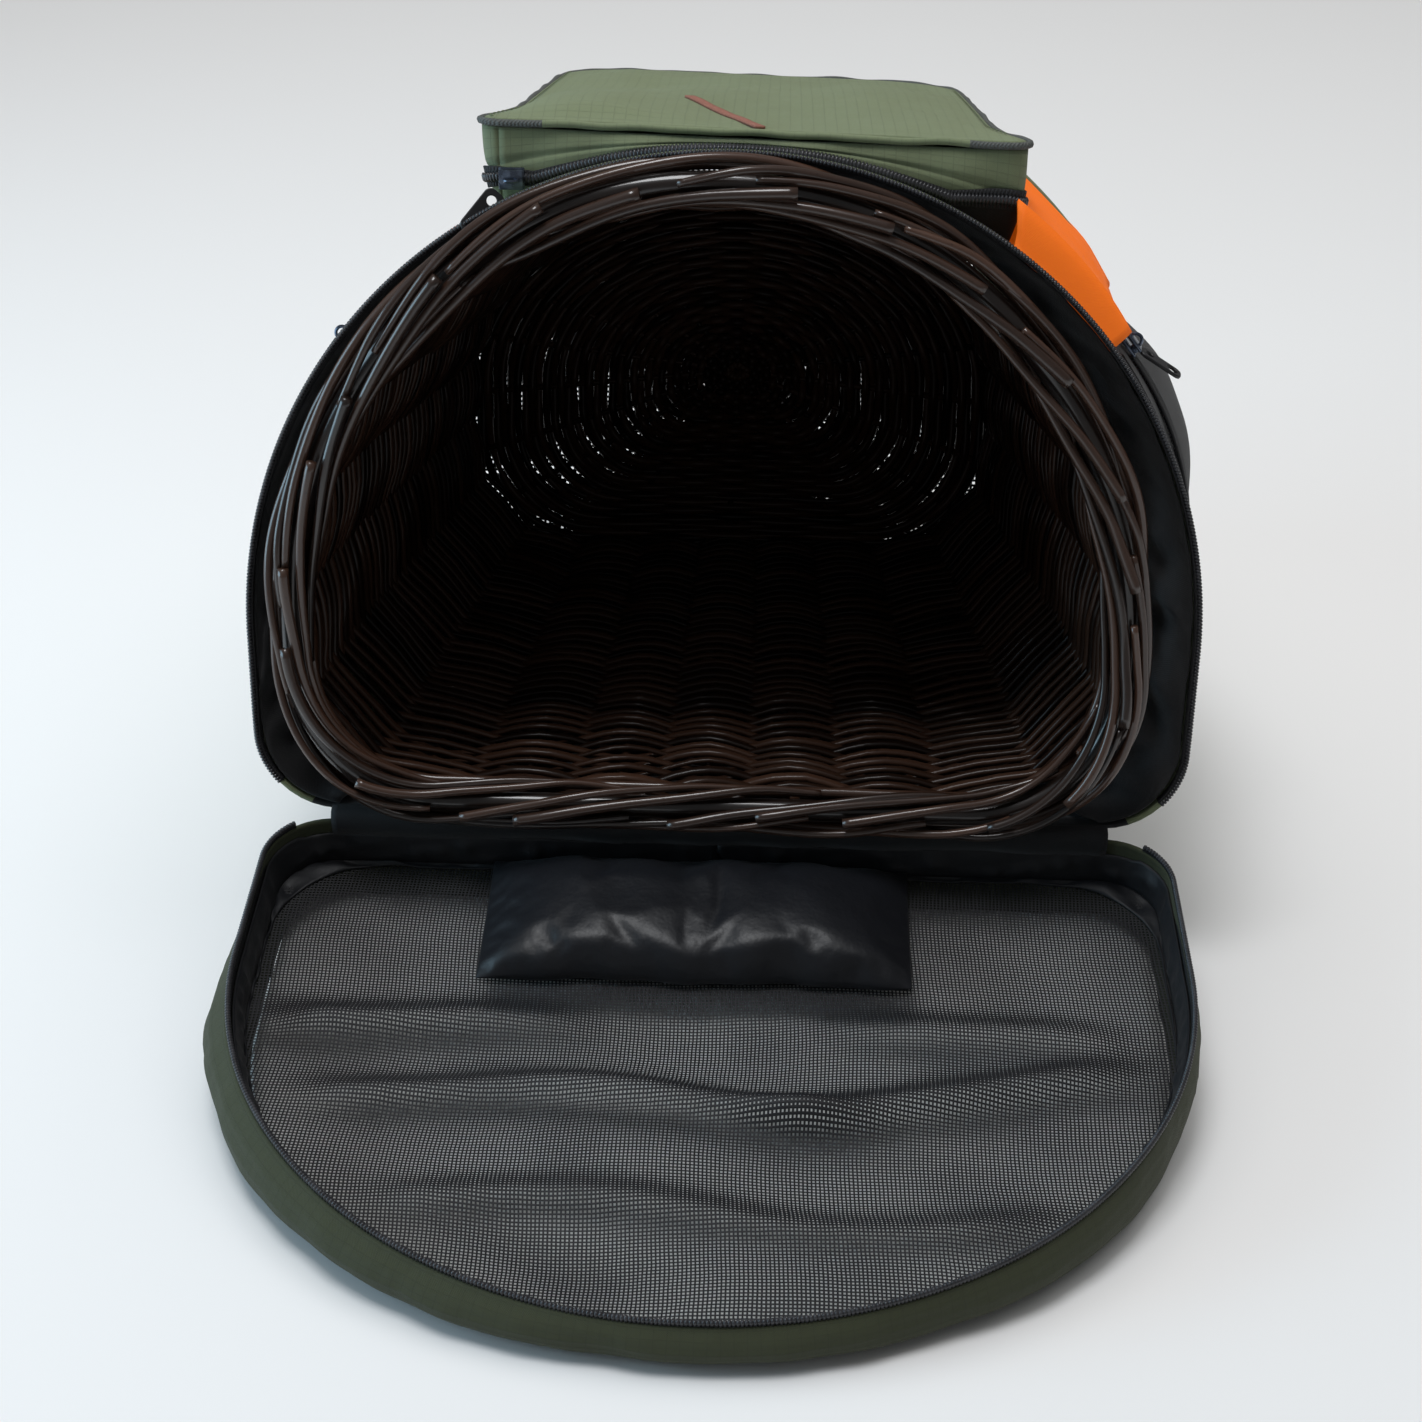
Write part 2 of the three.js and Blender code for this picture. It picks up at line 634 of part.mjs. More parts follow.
// Lid: cloth tray with a net inside and a pouch by the hinge

const lidPoint = (x, along, level) => new THREE.Vector3(x, -along, level);

// Depth of the tray at a place along the lid: its full depth, or down to the floor where that is nearer
function lidDepth(along) {
  const floor = (HINGE_HEIGHT - along * Math.sin(LID_SLOPE)) / Math.cos(LID_SLOPE);
  return Math.min(LID_DEPTH, floor);
}

const lidPath = dPath(LID);
const lidEdge = (share, by) => outlinePoint(lidPath, share, by);

function lidWall() {
  const rows = [
    { down: 0, swell: 0, tuck: 0 },
    { down: 0.4, swell: 1, tuck: 0 },
    { down: 0.8, swell: 0.8, tuck: 0 },
    { down: 1, swell: 0, tuck: LID_FOOT },
  ];
  return wall(range(LID_STATIONS).map((i) => {
    const share = i / LID_STATIONS;
    const place = ({ down, swell, tuck }, thick) => {
      const rim = lidEdge(share, 0);
      const grown = smoothstep(rim.y, LID_BULGE.from, LID_BULGE.full);
      const bulge = swell * grown * (LID_BULGE.size + (LID_BULGE.lean * rim.x) / LID.half);
      const p = lidEdge(share, bulge - tuck - thick);
      const top = -ZIP.tape - GAP;
      return lidPoint(p.x, p.y, lerp(top, -lidDepth(p.y), down));
    };
    return { outer: rows.map((row) => place(row, 0)), inner: rows.map((row) => place(row, CLOTH)) };
  }), true);
}

function lidPanel() {
  const edge = (share) => {
    const p = lidEdge(share, -LID_FOOT - CLOTH - LOOSE);
    return lidPoint(p.x, p.y, 0);
  };
  return discSheet(LID_STATIONS, edge, lidPoint(0, MESH_CENTRE, 0), 3, (p, k, face) => {
    return p.clone().setZ(CLOTH * face - lidDepth(-p.y));
  });
}

const meshLevel = (along) => -MESH_SHARE * lidDepth(along);

function lidLining() {
  return wall(range(LID_STATIONS).map((i) => {
    const row = (by) => [ZIP.tape + GAP, 0].map((down, k) => {
      const p = lidEdge(i / LID_STATIONS, -by);
      return lidPoint(p.x, p.y, k ? meshLevel(p.y) + LINING_STEP : -down);
    });
    return { outer: row(CLOTH + 2 * GAP), inner: row(CLOTH + 2 * GAP + LINING) };
  }), true);
}

function lidMesh() {
  const edge = (share) => {
    const p = lidEdge(share, -CLOTH - 2 * GAP);
    return lidPoint(p.x, p.y, 0);
  };
  return discSheet(LID_STATIONS, edge, lidPoint(0, MESH_CENTRE, 0), 4, (p, k, face) => {
    const along = -p.y;
    const past = smoothstep(along - POUCH.to, MESH_CALM.from, MESH_CALM.to);
    const free = past * smoothstep(1 - k, 0, MESH_CALM.edge);
    const wave = MESH_WAVES.reduce((sum, { height, across, along: pitch, phase }) => {
      return sum + height * Math.sin(p.x / across + along / pitch + phase);
    }, 0);
    return p.clone().setZ(meshLevel(along) + free * wave + LINING * face);
  });
}

function lidPouch() {
  const { left, right, from, to, hem, thick, pucker, puckers } = POUCH;
  const base = LINING + GAP;
  const swell = (a) => 1 - Math.abs(2 * a - 1) ** 4;
  return wall(shares(12).map((a) => {
    const x = lerp(left, right, a);
    const front = to + pucker * Math.sin(2 * Math.PI * puckers * a);
    const row = (top) => shares(5).map((b) => {
      const along = lerp(from, front, b);
      return lidPoint(x, along, meshLevel(along) + base + top * (hem + thick * swell(a) * swell(b)));
    });
    return { outer: row(1), inner: row(0) };
  }));
}

function mainZipLid() {
  return zipBand(archShares(LID_STATIONS, HINGE_STATIONS.lid), (share, by, along) => {
    const p = lidEdge(share, by);
    return lidPoint(p.x, p.y, -along);
  });
}

piece(lid, 'lid_wall', lidWall(), 'olive');
piece(lid, 'lid_panel', lidPanel(), 'olive');
piece(lid, 'lid_lining', lidLining(), 'black');
piece(lid, 'lid_mesh', lidMesh(), 'mesh');
piece(lid, 'lid_pouch', lidPouch(), 'satin');
piece(lid, 'main_zip_lid', mainZipLid(), 'black');

// Hinge: a strip of cloth from the bag's back edge over to the lid's wall, in floor coordinates

function hingeStrip() {
  const edge = SHELL[0].bottom - HINGE_LEVEL;
  const start = SHELL[0].depth - GAP;
  const fall = -ZIP.tape;
  const bend = 0.4;
  const profile = [
    { y: start, z: HINGE_HEIGHT + edge - start * Math.sin(BAG_TILT) },
    { y: start * bend, z: HINGE_HEIGHT + edge - SEAT },
    { y: GAP - LID.bottom, z: HINGE_HEIGHT + fall * bend },
    { y: GAP - LID.bottom, z: HINGE_HEIGHT + fall + GAP },
  ];
  const half = LID.half - LID.corner;
  return wall(shares(6).map((share) => {
    const x = lerp(-half, half, share);
    const row = (by) => profile.map(({ y, z }, k) => {
      return k < 2 ? new THREE.Vector3(x, y, z + by) : new THREE.Vector3(x, y - by, z);
    });
    return { outer: row(CLOTH), inner: row(0) };
  }));
}

piece(harness, 'hinge_strip', hingeStrip(), 'black');

// Harness, in floor coordinates: y from the hinge line, z from the floor

// Lower face of the padded back, at a depth in the bag and a step below it
function underBack(depth, below) {
  const level = PAD_BOTTOM - HINGE_LEVEL - below;
  const y = depth * Math.cos(BAG_TILT) + level * Math.sin(BAG_TILT);
  return new THREE.Vector2(y, HINGE_HEIGHT + level * Math.cos(BAG_TILT) - depth * Math.sin(BAG_TILT));
}

// Each strap leaves the back near the mouth, turns over and runs to the foot along the floor
function strapPoints(mirror) {
  const { thick, top, foot, start, turn, end } = STRAP;
  const seat = GAP + thick / 2;
  const from = underBack(start, seat);
  const bend = underBack(turn, seat);
  const radius = (bend.y - thick / 2) / (1 + Math.cos(BAG_TILT));
  const down = new THREE.Vector2(-Math.sin(BAG_TILT), -Math.cos(BAG_TILT));
  const centre = bend.clone().addScaledVector(down, radius);
  const path = new THREE.Path();
  path.moveTo(from.x, from.y);
  path.lineTo(bend.x, bend.y);
  path.absarc(centre.x, centre.y, radius, Math.PI / 2 - BAG_TILT, 1.5 * Math.PI);
  path.lineTo(end, thick / 2);
  return shares(20).map((share) => {
    const p = path.getPointAt(share);
    return new THREE.Vector3(mirror * lerp(top, foot, share), p.x, p.y);
  });
}

function ladderLock() {
  const { wide, long, thick, bar } = LOCK;
  const shape = roundedRectangle(-wide / 2, wide / 2, 0, long, 4, 4);
  const slot = (long - 3 * bar) / 2;
  for (const low of [bar, 2 * bar + slot]) {
    const hole = roundedRectangle(bar - wide / 2, wide / 2 - bar, low, low + slot, 1, 1);
    shape.holes.push(new THREE.Path(hole.getPoints(1).reverse()));
  }
  return new THREE.ExtrudeGeometry(shape, { depth: thick, bevelEnabled: false, curveSegments: 1 });
}

function webbingPoints(mirror) {
  const { thick, x, rise, seam, end } = WEBBING;
  const start = STRAP.end + LOCK.long + 2 * GAP;
  const under = (depth) => underBack(depth, thick / 2 + SEAT - (SHELL[0].bottom - PAD_BOTTOM));
  const [meet, last] = [under(seam), under(end)];
  const route = new THREE.CatmullRomCurve3([
    new THREE.Vector3(mirror * STRAP.foot, start, thick / 2),
    new THREE.Vector3(mirror * x, rise, thick / 2),
    new THREE.Vector3(mirror * x, meet.x, meet.y),
    new THREE.Vector3(mirror * x, last.x, last.y),
  ]);
  return route.getSpacedPoints(10).map((p) => p.setZ(Math.max(p.z, thick / 2)));
}

function haulLoop() {
  const { half, from, reach, wide, thick } = HAUL;
  const arc = new THREE.EllipseCurve(0, 0, half, reach, 0, Math.PI);
  const stations = shares(10).map((share) => {
    const p = arc.getPoint(share);
    const out = p.clone().normalize();
    const place = (by, below) => {
      const y = underBack(from + p.y + out.y * by, GAP + below);
      return new THREE.Vector3(p.x + out.x * by, y.x, y.y);
    };
    const row = (by) => [0, thick].map((below) => place(by, below));
    return { outer: row(wide / 2), inner: row(-wide / 2) };
  });
  return wall(stations);
}

for (const [side, mirror] of [['right', 1], ['left', -1]]) {
  const strap = band(strapPoints(mirror), STRAP.wide, STRAP.thick, STRAP.edge);
  const webbing = band(webbingPoints(mirror), WEBBING.wide, WEBBING.thick, WEBBING.edge);
  piece(harness, `shoulder_strap_${side}`, strap, 'black');
  const lock = piece(harness, `ladder_lock_${side}`, ladderLock(), 'plastic');
  lock.position.set(mirror * STRAP.foot, STRAP.end + GAP, 0);
  piece(harness, `strap_webbing_${side}`, webbing, 'black');
}
piece(harness, 'haul_loop', haulLoop(), 'black');

// Assembly: bag and lid turn on the hinge line
const bagOnHinge = new THREE.Group();
bag.position.z = -HINGE_LEVEL;
bagOnHinge.add(bag);
bagOnHinge.rotation.x = -BAG_TILT;
bagOnHinge.position.z = HINGE_HEIGHT;
lid.rotation.x = LID_SLOPE;
lid.position.z = HINGE_HEIGHT;

const backpack = new THREE.Group();
backpack.add(bagOnHinge, lid, harness);

// The row's origin is on the floor, under the middle of the whole
const box = new THREE.Box3().setFromObject(backpack, true);
const middle = box.getCenter(new THREE.Vector3());
backpack.position.set(-middle.x, -middle.y, -box.min.z);

const row = new THREE.Group();
row.add(backpack);

export default row;
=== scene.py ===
"""Mushroom backpack: a wicker basket in an olive cloth bag, lying on its back with the lid open."""

import math

import bmesh
import bpy
import numpy as np
from bpy.props import FloatProperty, FloatVectorProperty, IntProperty, PointerProperty
from mathutils import Matrix, Vector


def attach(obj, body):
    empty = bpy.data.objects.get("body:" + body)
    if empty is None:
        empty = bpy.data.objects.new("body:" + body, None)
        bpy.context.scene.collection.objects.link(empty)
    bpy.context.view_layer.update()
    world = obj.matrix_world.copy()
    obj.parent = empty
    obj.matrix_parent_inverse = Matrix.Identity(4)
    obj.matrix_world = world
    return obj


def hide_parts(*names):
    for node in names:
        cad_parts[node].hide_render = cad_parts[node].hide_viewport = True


bl_info = {
    "name": "Mushroom Backpack",
    "version": (1, 0, 0),
    "blender": (4, 5, 0),
    "location": "View3D > Sidebar > Backpack",
    "description": "Builds a wicker basket backpack in its cloth bag",
    "category": "Add Mesh",
}

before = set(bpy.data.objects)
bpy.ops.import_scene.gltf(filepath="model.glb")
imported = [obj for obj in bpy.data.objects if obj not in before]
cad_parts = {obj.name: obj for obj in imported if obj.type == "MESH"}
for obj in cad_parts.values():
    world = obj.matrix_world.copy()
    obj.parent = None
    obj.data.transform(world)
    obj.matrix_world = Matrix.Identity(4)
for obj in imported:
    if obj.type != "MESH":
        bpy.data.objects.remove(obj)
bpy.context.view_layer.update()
MM = 0.001

# How the bag and the lid lie, in mm and radians, as the solids have it

TILT = math.radians(7.5)
HINGE_LEVEL = 14
HINGE_HEIGHT = 12 * math.cos(TILT) + 432 * math.sin(TILT)
SLOPE = math.asin((HINGE_HEIGHT - 22) / 274)
CENTRE = (-0.9775, -96.4214)

# D sections: depth, half width, level of the widest place, top, bottom, corner radius

SHELL = np.array(
    [
        (10, 214, 104, 321, 16, 38),
        (70, 206, 106, 307, 16, 50),
        (240, 195, 114, 285, 16, 58),
        (400, 183, 122, 268, 16, 62),
        (438, 174, 124, 258, 18, 64),
    ],
    float,
)
BASKET = np.array(
    [
        (8.3, 195, 108, 308, 18.4, 76),
        (140, 189, 113, 290, 18.4, 76),
        (415, 165, 126, 248, 18.4, 76),
    ],
    float,
)
MOUTH = (215, 104, 322, 16, 38)
RIM = (187, 108, 304, 31, 66)
LID = (209, 88, 274, -2, 30)
NET_EDGE = (203, 90, 267, 6, 46)
BASKET_SHIFT = -6
LID_DEPTH = 48
POCKET_NEAR, POCKET_FAR, POCKET_X = 18, 276, 10
POCKET_NEAR_HALF, POCKET_FAR_HALF = 117, 100
PIPING_RADIUS = 2.1
SEAT = 0.6
FOOT_DEPTH, BASE_DEPTH = SHELL[-1, 0], BASKET[-1, 0]
LID_MIDDLE = (0, 125)

# Steps round the solids' mouth and lid, and a way round in mm for waves

MOUTH_STEPS, LID_STEPS = 42, 36
ROUND, LID_ROUND = 1000, 1500

# How far the pocket's zip, the sides' cloth and the sides' sliders stand out

ZIP_OUT, SIDE_CLOTH_OUT, SIDE_SLIDER_OUT = 3.4, 1.6, 4.9


# Places


def in_bag(points):
    """Bag points (across, depth, level) in mm, as metres in the shared frame."""
    x, y, z = np.moveaxis(np.asarray(points, float), -1, 0)
    up = z - HINGE_LEVEL
    far = y * math.cos(TILT) + up * math.sin(TILT) + CENTRE[1]
    high = HINGE_HEIGHT + up * math.cos(TILT) - y * math.sin(TILT)
    return np.stack([x + CENTRE[0], far, high], -1) * MM


def in_lid(points):
    """Lid points (across, along from the hinge, level) in mm, as metres in the shared frame."""
    x, y, z = np.moveaxis(np.asarray(points, float), -1, 0)
    far = -y * math.cos(SLOPE) - z * math.sin(SLOPE) + CENTRE[1]
    high = HINGE_HEIGHT - y * math.sin(SLOPE) + z * math.cos(SLOPE)
    return np.stack([x + CENTRE[0], far, high], -1) * MM


def on_floor(points):
    """Points from the hinge line and the floor in mm, as metres in the shared frame."""
    return (np.asarray(points, float) + np.array([CENTRE[0], CENTRE[1], 0])) * MM


def xyz(x, y, z):
    """Points from three arrays or numbers."""
    return np.stack(np.broadcast_arrays(x, y, z), -1)


DEPTH_WAY = in_bag([0, 1, 0]) - in_bag([0, 0, 0])


def lerp(a, b, share):
    return a + (b - a) * share


def smoothstep(value, low, high):
    t = np.clip((value - low) / (high - low), 0, 1)
    return t * t * (3 - 2 * t)


def unit(vectors):
    return vectors / np.maximum(np.linalg.norm(vectors, axis=-1, keepdims=True), 1e-12)


def ripple(u, v, seed, short, long, count=7):
    """Smooth uneven height, about -1 to 1, from waves between two lengths."""
    rng = np.random.default_rng(seed)
    total = 0
    for _ in range(count):
        turn, pitch = rng.uniform(0, 2 * np.pi), rng.uniform(short, long)
        way = u * np.cos(turn) + v * np.sin(turn)
        total = total + np.sin(2 * np.pi * way / pitch + rng.uniform(0, 2 * np.pi))
    return total / math.sqrt(count)


# Outlines


def at_depth(table, depth):
    """D section of a table at one depth."""
    i = int(np.clip(np.searchsorted(table[:, 0], depth) - 1, 0, len(table) - 2))
    share = (depth - table[i, 0]) / (table[i + 1, 0] - table[i, 0])
    return tuple(lerp(table[i], table[i + 1], share)[1:])


def resample(outline, shares, by):
    """Points at shares of the way round a closed outline, moved outwards by a distance."""
    way = np.roll(outline, -1, 0) - np.roll(outline, 1, 0)
    out = unit(np.stack([way[:, 1], -way[:, 0]], -1))
    step = np.linalg.norm(np.roll(outline, -1, 0) - outline, axis=1)
    place = np.concatenate([[0], np.cumsum(step)]) / step.sum()
    shares = np.asarray(shares, float) % 1
    columns = np.concatenate([outline, out], 1)
    found = [np.interp(shares, place, np.append(c, c[0])) for c in columns.T]
    normal = unit(np.stack(found[2:], -1))
    return np.stack(found[:2], -1) + normal * np.asarray(by, float)[..., None]


def arc(x, y, across, up, start, end, count):
    turn = np.radians(np.linspace(start, end, count, endpoint=False))
    return np.stack([x + across * np.cos(turn), y + up * np.sin(turn)], -1)


def line(a, b, count):
    shares = np.linspace(0, 1, count, endpoint=False)[:, None]
    return lerp(np.array(a, float), np.array(b, float), shares)


def d_ring(size, shares, by=0.0):
    """Points round a D outline, from the middle of its flat side and up the right side."""
    half, widest, top, bottom, corner = size
    side = half - corner
    outline = np.concatenate(
        [
            line((0, bottom), (side, bottom), 60),
            arc(side, bottom + corner, corner, corner, -90, 0, 60),
            line((half, bottom + corner), (half, widest), 20),
            arc(0, widest, half, top - widest, 0, 180, 480),
            line((-half, widest), (-half, bottom + corner), 20),
            arc(-side, bottom + corner, corner, corner, 180, 270, 60),
            line((-side, bottom), (0, bottom), 60),
        ]
    )
    return resample(outline, shares, by)


def round_box(half, near, far, small, big, counts):
    """Outline of a box from its left near corner, with small near and big far corners."""
    across, along, near_turn, far_turn = counts
    return np.concatenate(
        [
            line((small - half, near), (half - small, near), across),
            arc(half - small, near + small, small, small, -90, 0, near_turn),
            line((half, near + small), (half, far - big), along),
            arc(half - big, far - big, big, big, 0, 90, far_turn),
            line((half - big, far), (big - half, far), across),
            arc(big - half, far - big, big, big, 90, 180, far_turn),
            line((-half, far - big), (-half, near + small), along),
            arc(small - half, near + small, small, small, 180, 270, near_turn),
        ]
    )


def pocket_ring(shares, by=0.0):
    """Points (across, depth) round the front pocket's face, from its left near corner."""
    half, near, far = POCKET_NEAR_HALF, POCKET_NEAR, POCKET_FAR
    p = resample(round_box(half, near, far, 9, 54, (100, 100, 40, 80)), shares, by)
    share = (p[..., 1] - near) / (far - near)
    narrow = 0.10 * smoothstep(share, 0.0, 0.2)
    p[..., 0] = POCKET_X + p[..., 0] * (1 - narrow - (0.90 - POCKET_FAR_HALF / half) * share)
    return p


def section_rows(table, depths, shares, by):
    """Bag points of several sections: one row per share, one column per depth."""
    columns = []
    for i, depth in enumerate(depths):
        x, level = d_ring(at_depth(table, depth), shares, by[:, i]).T
        columns.append(xyz(x, depth, level))
    return np.stack(columns, 1)


def fan(edge, middle, rows):
    """Rows of points from a middle out to an edge, after each row's share of the way."""
    share = np.linspace(0, 1, rows)[:, None]
    middle = np.array(middle, float)
    return share, middle + (edge[None] - middle) * share[..., None]


# Meshes


# Beads along a zip's coil and along a seam: place in one step and thickness

COIL = ((0.03, 0.55), (0.25, 0.95), (0.5, 1.0), (0.75, 0.95), (0.97, 0.55))
STITCH = ((0.12, 0.0), (0.18, 0.8), (0.45, 1.0), (0.72, 0.8), (0.78, 0.0))

# Metres between two rods on the UV map, so that no two have the same grain

STRAND_APART = 7.3


def put(name, data):
    """A new object in the scene."""
    obj = bpy.data.objects.new(name, data)
    bpy.context.scene.collection.objects.link(obj)
    return obj


class Workpiece:
    """Grids and small repeated shapes, in metres, that become one mesh."""

    def __init__(self):
        self.bm = bmesh.new()
        self.points, self.plans, self.strands, self.slots = [], [], [], []

    def grid(self, points, plan=None, strand=0.0, slot=0, flip=False):
        """A sheet over rows and columns of points; the plan is its UV map, in metres."""
        if plan is None:
            plan = self.lengths(points)
        if flip:
            points, plan = points[:, ::-1], plan[:, ::-1]
        rows, columns = points.shape[:2]
        bmesh.ops.create_grid(self.bm, x_segments=columns - 1, y_segments=rows - 1, size=0.5)
        self.keep(points.reshape(-1, 3), plan.reshape(-1, 2), strand)
        faces = np.broadcast_to(slot, (rows - 1, columns - 1))
        self.slots.append((faces[:, ::-1] if flip else faces).ravel())

    def keep(self, points, plan, strand):
        self.points.append(points)
        self.plans.append(plan)
        self.strands.append(np.broadcast_to(strand, len(points)))

    @staticmethod
    def lengths(points):
        across = np.linalg.norm(np.diff(points, axis=1), axis=2).mean(0)
        along = np.linalg.norm(np.diff(points, axis=0), axis=2).mean(1)
        u, v = np.append(0, np.cumsum(across)), np.append(0, np.cumsum(along))
        return np.stack(np.broadcast_arrays(u[None], v[:, None]), -1)

    def rod(self, path, radius, ref, sides=6, closed=False, strand=0.0, slot=0, squash=1.0):
        """A round rod along a path; ref is a direction that the path never takes."""
        path = np.asarray(path, float)
        way = np.roll(path, -1, 0) - np.roll(path, 1, 0) if closed else np.gradient(path, axis=0)
        side = unit(np.cross(unit(way), ref))
        up = np.cross(unit(way), side)
        radius = np.broadcast_to(radius, len(path)).astype(float)
        far = np.append(0, np.cumsum(np.linalg.norm(np.diff(path, axis=0), axis=1)))
        if closed:
            last = far[-1] + np.linalg.norm(path[0] - path[-1])
            path, side, up, radius = (np.concatenate([a, a[:1]]) for a in (path, side, up, radius))
            far = np.append(far, last)
        else:
            ends = (0, *range(len(path)), -1)
            path, side, up, radius, far = (a[list(ends)] for a in (path, side, up, radius, far))
            radius[0] = radius[-1] = 0
        turn = np.linspace(0, 2 * np.pi, sides + 1)[None, :, None]
        spread = np.cos(turn) * side[:, None] * squash + np.sin(turn) * up[:, None]
        points = path[:, None] + radius[:, None, None] * spread
        plan = np.broadcast_arrays(turn[..., 0] * radius.max(), far[:, None] + STRAND_APART * strand)
        self.grid(points, np.stack(plan, -1), strand, slot)

    def string(self, path, out, pitch, across, high, spans, slot=0):
        """A row of small beads along a path: the turns of a zip's coil, or stitches."""
        step = np.append(0, np.cumsum(np.linalg.norm(np.diff(path, axis=0), axis=1)))
        count = int(step[-1] / pitch)
        place, fat = np.array(spans).T
        spots = ((np.arange(count)[:, None] + place[None]) * step[-1] / count).ravel()
        points, outs = (
            np.stack([np.interp(spots, step, c) for c in np.broadcast_to(along, path.shape).T], -1)
            for along in (path, out)
        )
        self.rod(points, np.tile(fat, count) * high / 2, unit(outs), slot=slot, squash=across / high)

    def piece(self, name, finishes, outward=False, tape=0.0):
        """The finished object, with its seams closed; tape thickens the first finish's sheet."""
        mesh = bpy.data.meshes.new(name)
        self.bm.to_mesh(mesh)
        self.bm.free()
        mesh.vertices.foreach_set("co", np.concatenate(self.points).astype(np.float32).ravel())
        strand = mesh.attributes.new("strand", "FLOAT", "POINT")
        strand.data.foreach_set("value", np.concatenate(self.strands).astype(np.float32))
        corner = np.empty(len(mesh.loops), np.int32)
        mesh.loops.foreach_get("vertex_index", corner)
        plan = mesh.uv_layers.new(name="UVMap")
        plan.data.foreach_set("uv", np.concatenate(self.plans)[corner].astype(np.float32).ravel())
        mesh.polygons.foreach_set("material_index", np.concatenate(self.slots).astype(np.int32))
        mesh.polygons.foreach_set("use_smooth", np.ones(len(mesh.polygons), bool))
        bm = bmesh.new()
        bm.from_mesh(mesh)
        bmesh.ops.remove_doubles(bm, verts=bm.verts, dist=2e-6)
        loose = [edge for edge in bm.edges if not edge.link_faces]
        bmesh.ops.delete(bm, geom=loose, context="EDGES")
        if tape:
            sheet = [face for face in bm.faces if face.material_index == 0]
            bmesh.ops.solidify(bm, geom=sheet, thickness=tape)
        if outward:
            bmesh.ops.recalc_face_normals(bm, faces=bm.faces)
        bm.to_mesh(mesh)
        bm.free()
        for finish in finishes if isinstance(finishes, (list, tuple)) else [finishes]:
            mesh.materials.append(finish)
        return put(name, mesh)


def solidify(obj, thick, offset=-1.0, inner=0):
    """Gives a sheet its thickness, in metres; inner moves the inside to another finish."""
    wall = obj.modifiers.new("Thickness", "SOLIDIFY")
    wall.thickness = thick
    wall.offset = offset
    wall.use_rim = True
    wall.material_offset = inner


def subdivide(obj):
    fine = obj.modifiers.new("Smooth", "SUBSURF")
    fine.levels = fine.render_levels = 1


def cut_cloth(points, cut=None):
    """Measures the size and area of the grid that a sheet of cloth was laid out on, and keeps nothing of it.
    """
    rows = np.linalg.norm(np.diff(points, axis=0), axis=2).sum(0).mean()
    columns = np.linalg.norm(np.diff(points, axis=1), axis=2).sum(1).mean()
    width, length = cut or (float(rows), float(columns))
    a, b = points[1:, 1:] - points[:-1, :-1], points[1:, :-1] - points[:-1, 1:]
    area = float(np.linalg.norm(np.cross(a, b), axis=2).sum() / 2)
    min(area, width * length)


def cloth_piece(work, name, finishes, points, thick=0.0, cut=None, inner=0):
    """A piece of cloth with its thickness; the grid that it was laid out on is measured, and nothing is kept
    of it.
    """
    obj = work.piece(name, finishes)
    if thick:
        solidify(obj, thick, inner=inner)
    cut_cloth(points, cut)
    return obj


def inflate(context, obj, pressure, grow, cap, held, frames=20):
    """Swells a closed cloth shape with Blender's cloth, up to a cap, and keeps the result in its mesh."""
    count = len(obj.data.vertices)
    before, after = np.empty(3 * count), np.empty(3 * count)
    obj.data.vertices.foreach_get("co", before)
    obj.vertex_groups.new(name="held").add(held, 1.0, "REPLACE")
    cloth = obj.modifiers.new("Cloth", "CLOTH")
    rules = cloth.settings
    rules.quality, rules.mass = 6, 0.15
    rules.tension_stiffness = rules.compression_stiffness = 15
    rules.shear_stiffness, rules.bending_stiffness = 5, 0.2
    rules.use_pressure, rules.uniform_pressure_force = True, pressure
    rules.shrink_min = -grow
    rules.effector_weights.gravity = 0
    rules.vertex_group_mass = "held"
    cloth.point_cache.frame_start, cloth.point_cache.frame_end = 1, frames
    for number in range(1, frames + 1):
        context.scene.frame_set(number)
    made = obj.evaluated_get(context.evaluated_depsgraph_get())
    made.data.vertices.foreach_get("co", after)
    move = (after - before).reshape(-1, 3)
    far = np.maximum(np.linalg.norm(move, axis=1, keepdims=True), 1e-9)
    kept = before.reshape(-1, 3) + move * np.minimum(1, cap / far)
    obj.modifiers.remove(cloth)
    obj.vertex_groups.clear()
    obj.data.vertices.foreach_set("co", kept.ravel())
    obj.data.update()
    context.scene.frame_set(1)


def settle(obj, slot, *nodes):
    """Rides on the bag and stands for its solids, which it hides; the slot is not used."""
    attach(obj, "root")
    if nodes:
        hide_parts(*nodes)


# Finishes


class Value:
    """A shader socket in a Python expression; each operator adds a Math node."""

    def __init__(self, paint, socket):
        self.paint, self.socket = paint, socket

    def math(self, operation, *others):
        inputs = dict(enumerate((self, *others)))
        return self.paint.node("ShaderNodeMath", {"operation": operation}, inputs)

    def __add__(self, other):
        return self.math("ADD", other)

    def __sub__(self, other):
        return self.math("SUBTRACT", other)

    def __mul__(self, other):
        return self.math("MULTIPLY", other)

    def __truediv__(self, other):
        return self.math("DIVIDE", other)

    def __rsub__(self, other):
        return self * -1 + other

    def __lt__(self, other):
        return self.math("LESS_THAN", other)

    __radd__ = __add__
    __rmul__ = __mul__

    def wave(self):
        return self.math("SINE")

    def saw(self, pitch):
        """Distance to the nearest multiple of the pitch, as a share of half of it."""
        return (self / pitch).math("FRACT").math("PINGPONG", 0.5) * 2

    def ramp(self, low, high):
        inputs = {0: self, 1: low, 2: high, 3: 0.0, 4: 1.0}
        return self.paint.node("ShaderNodeMapRange", {"clamp": True}, inputs)


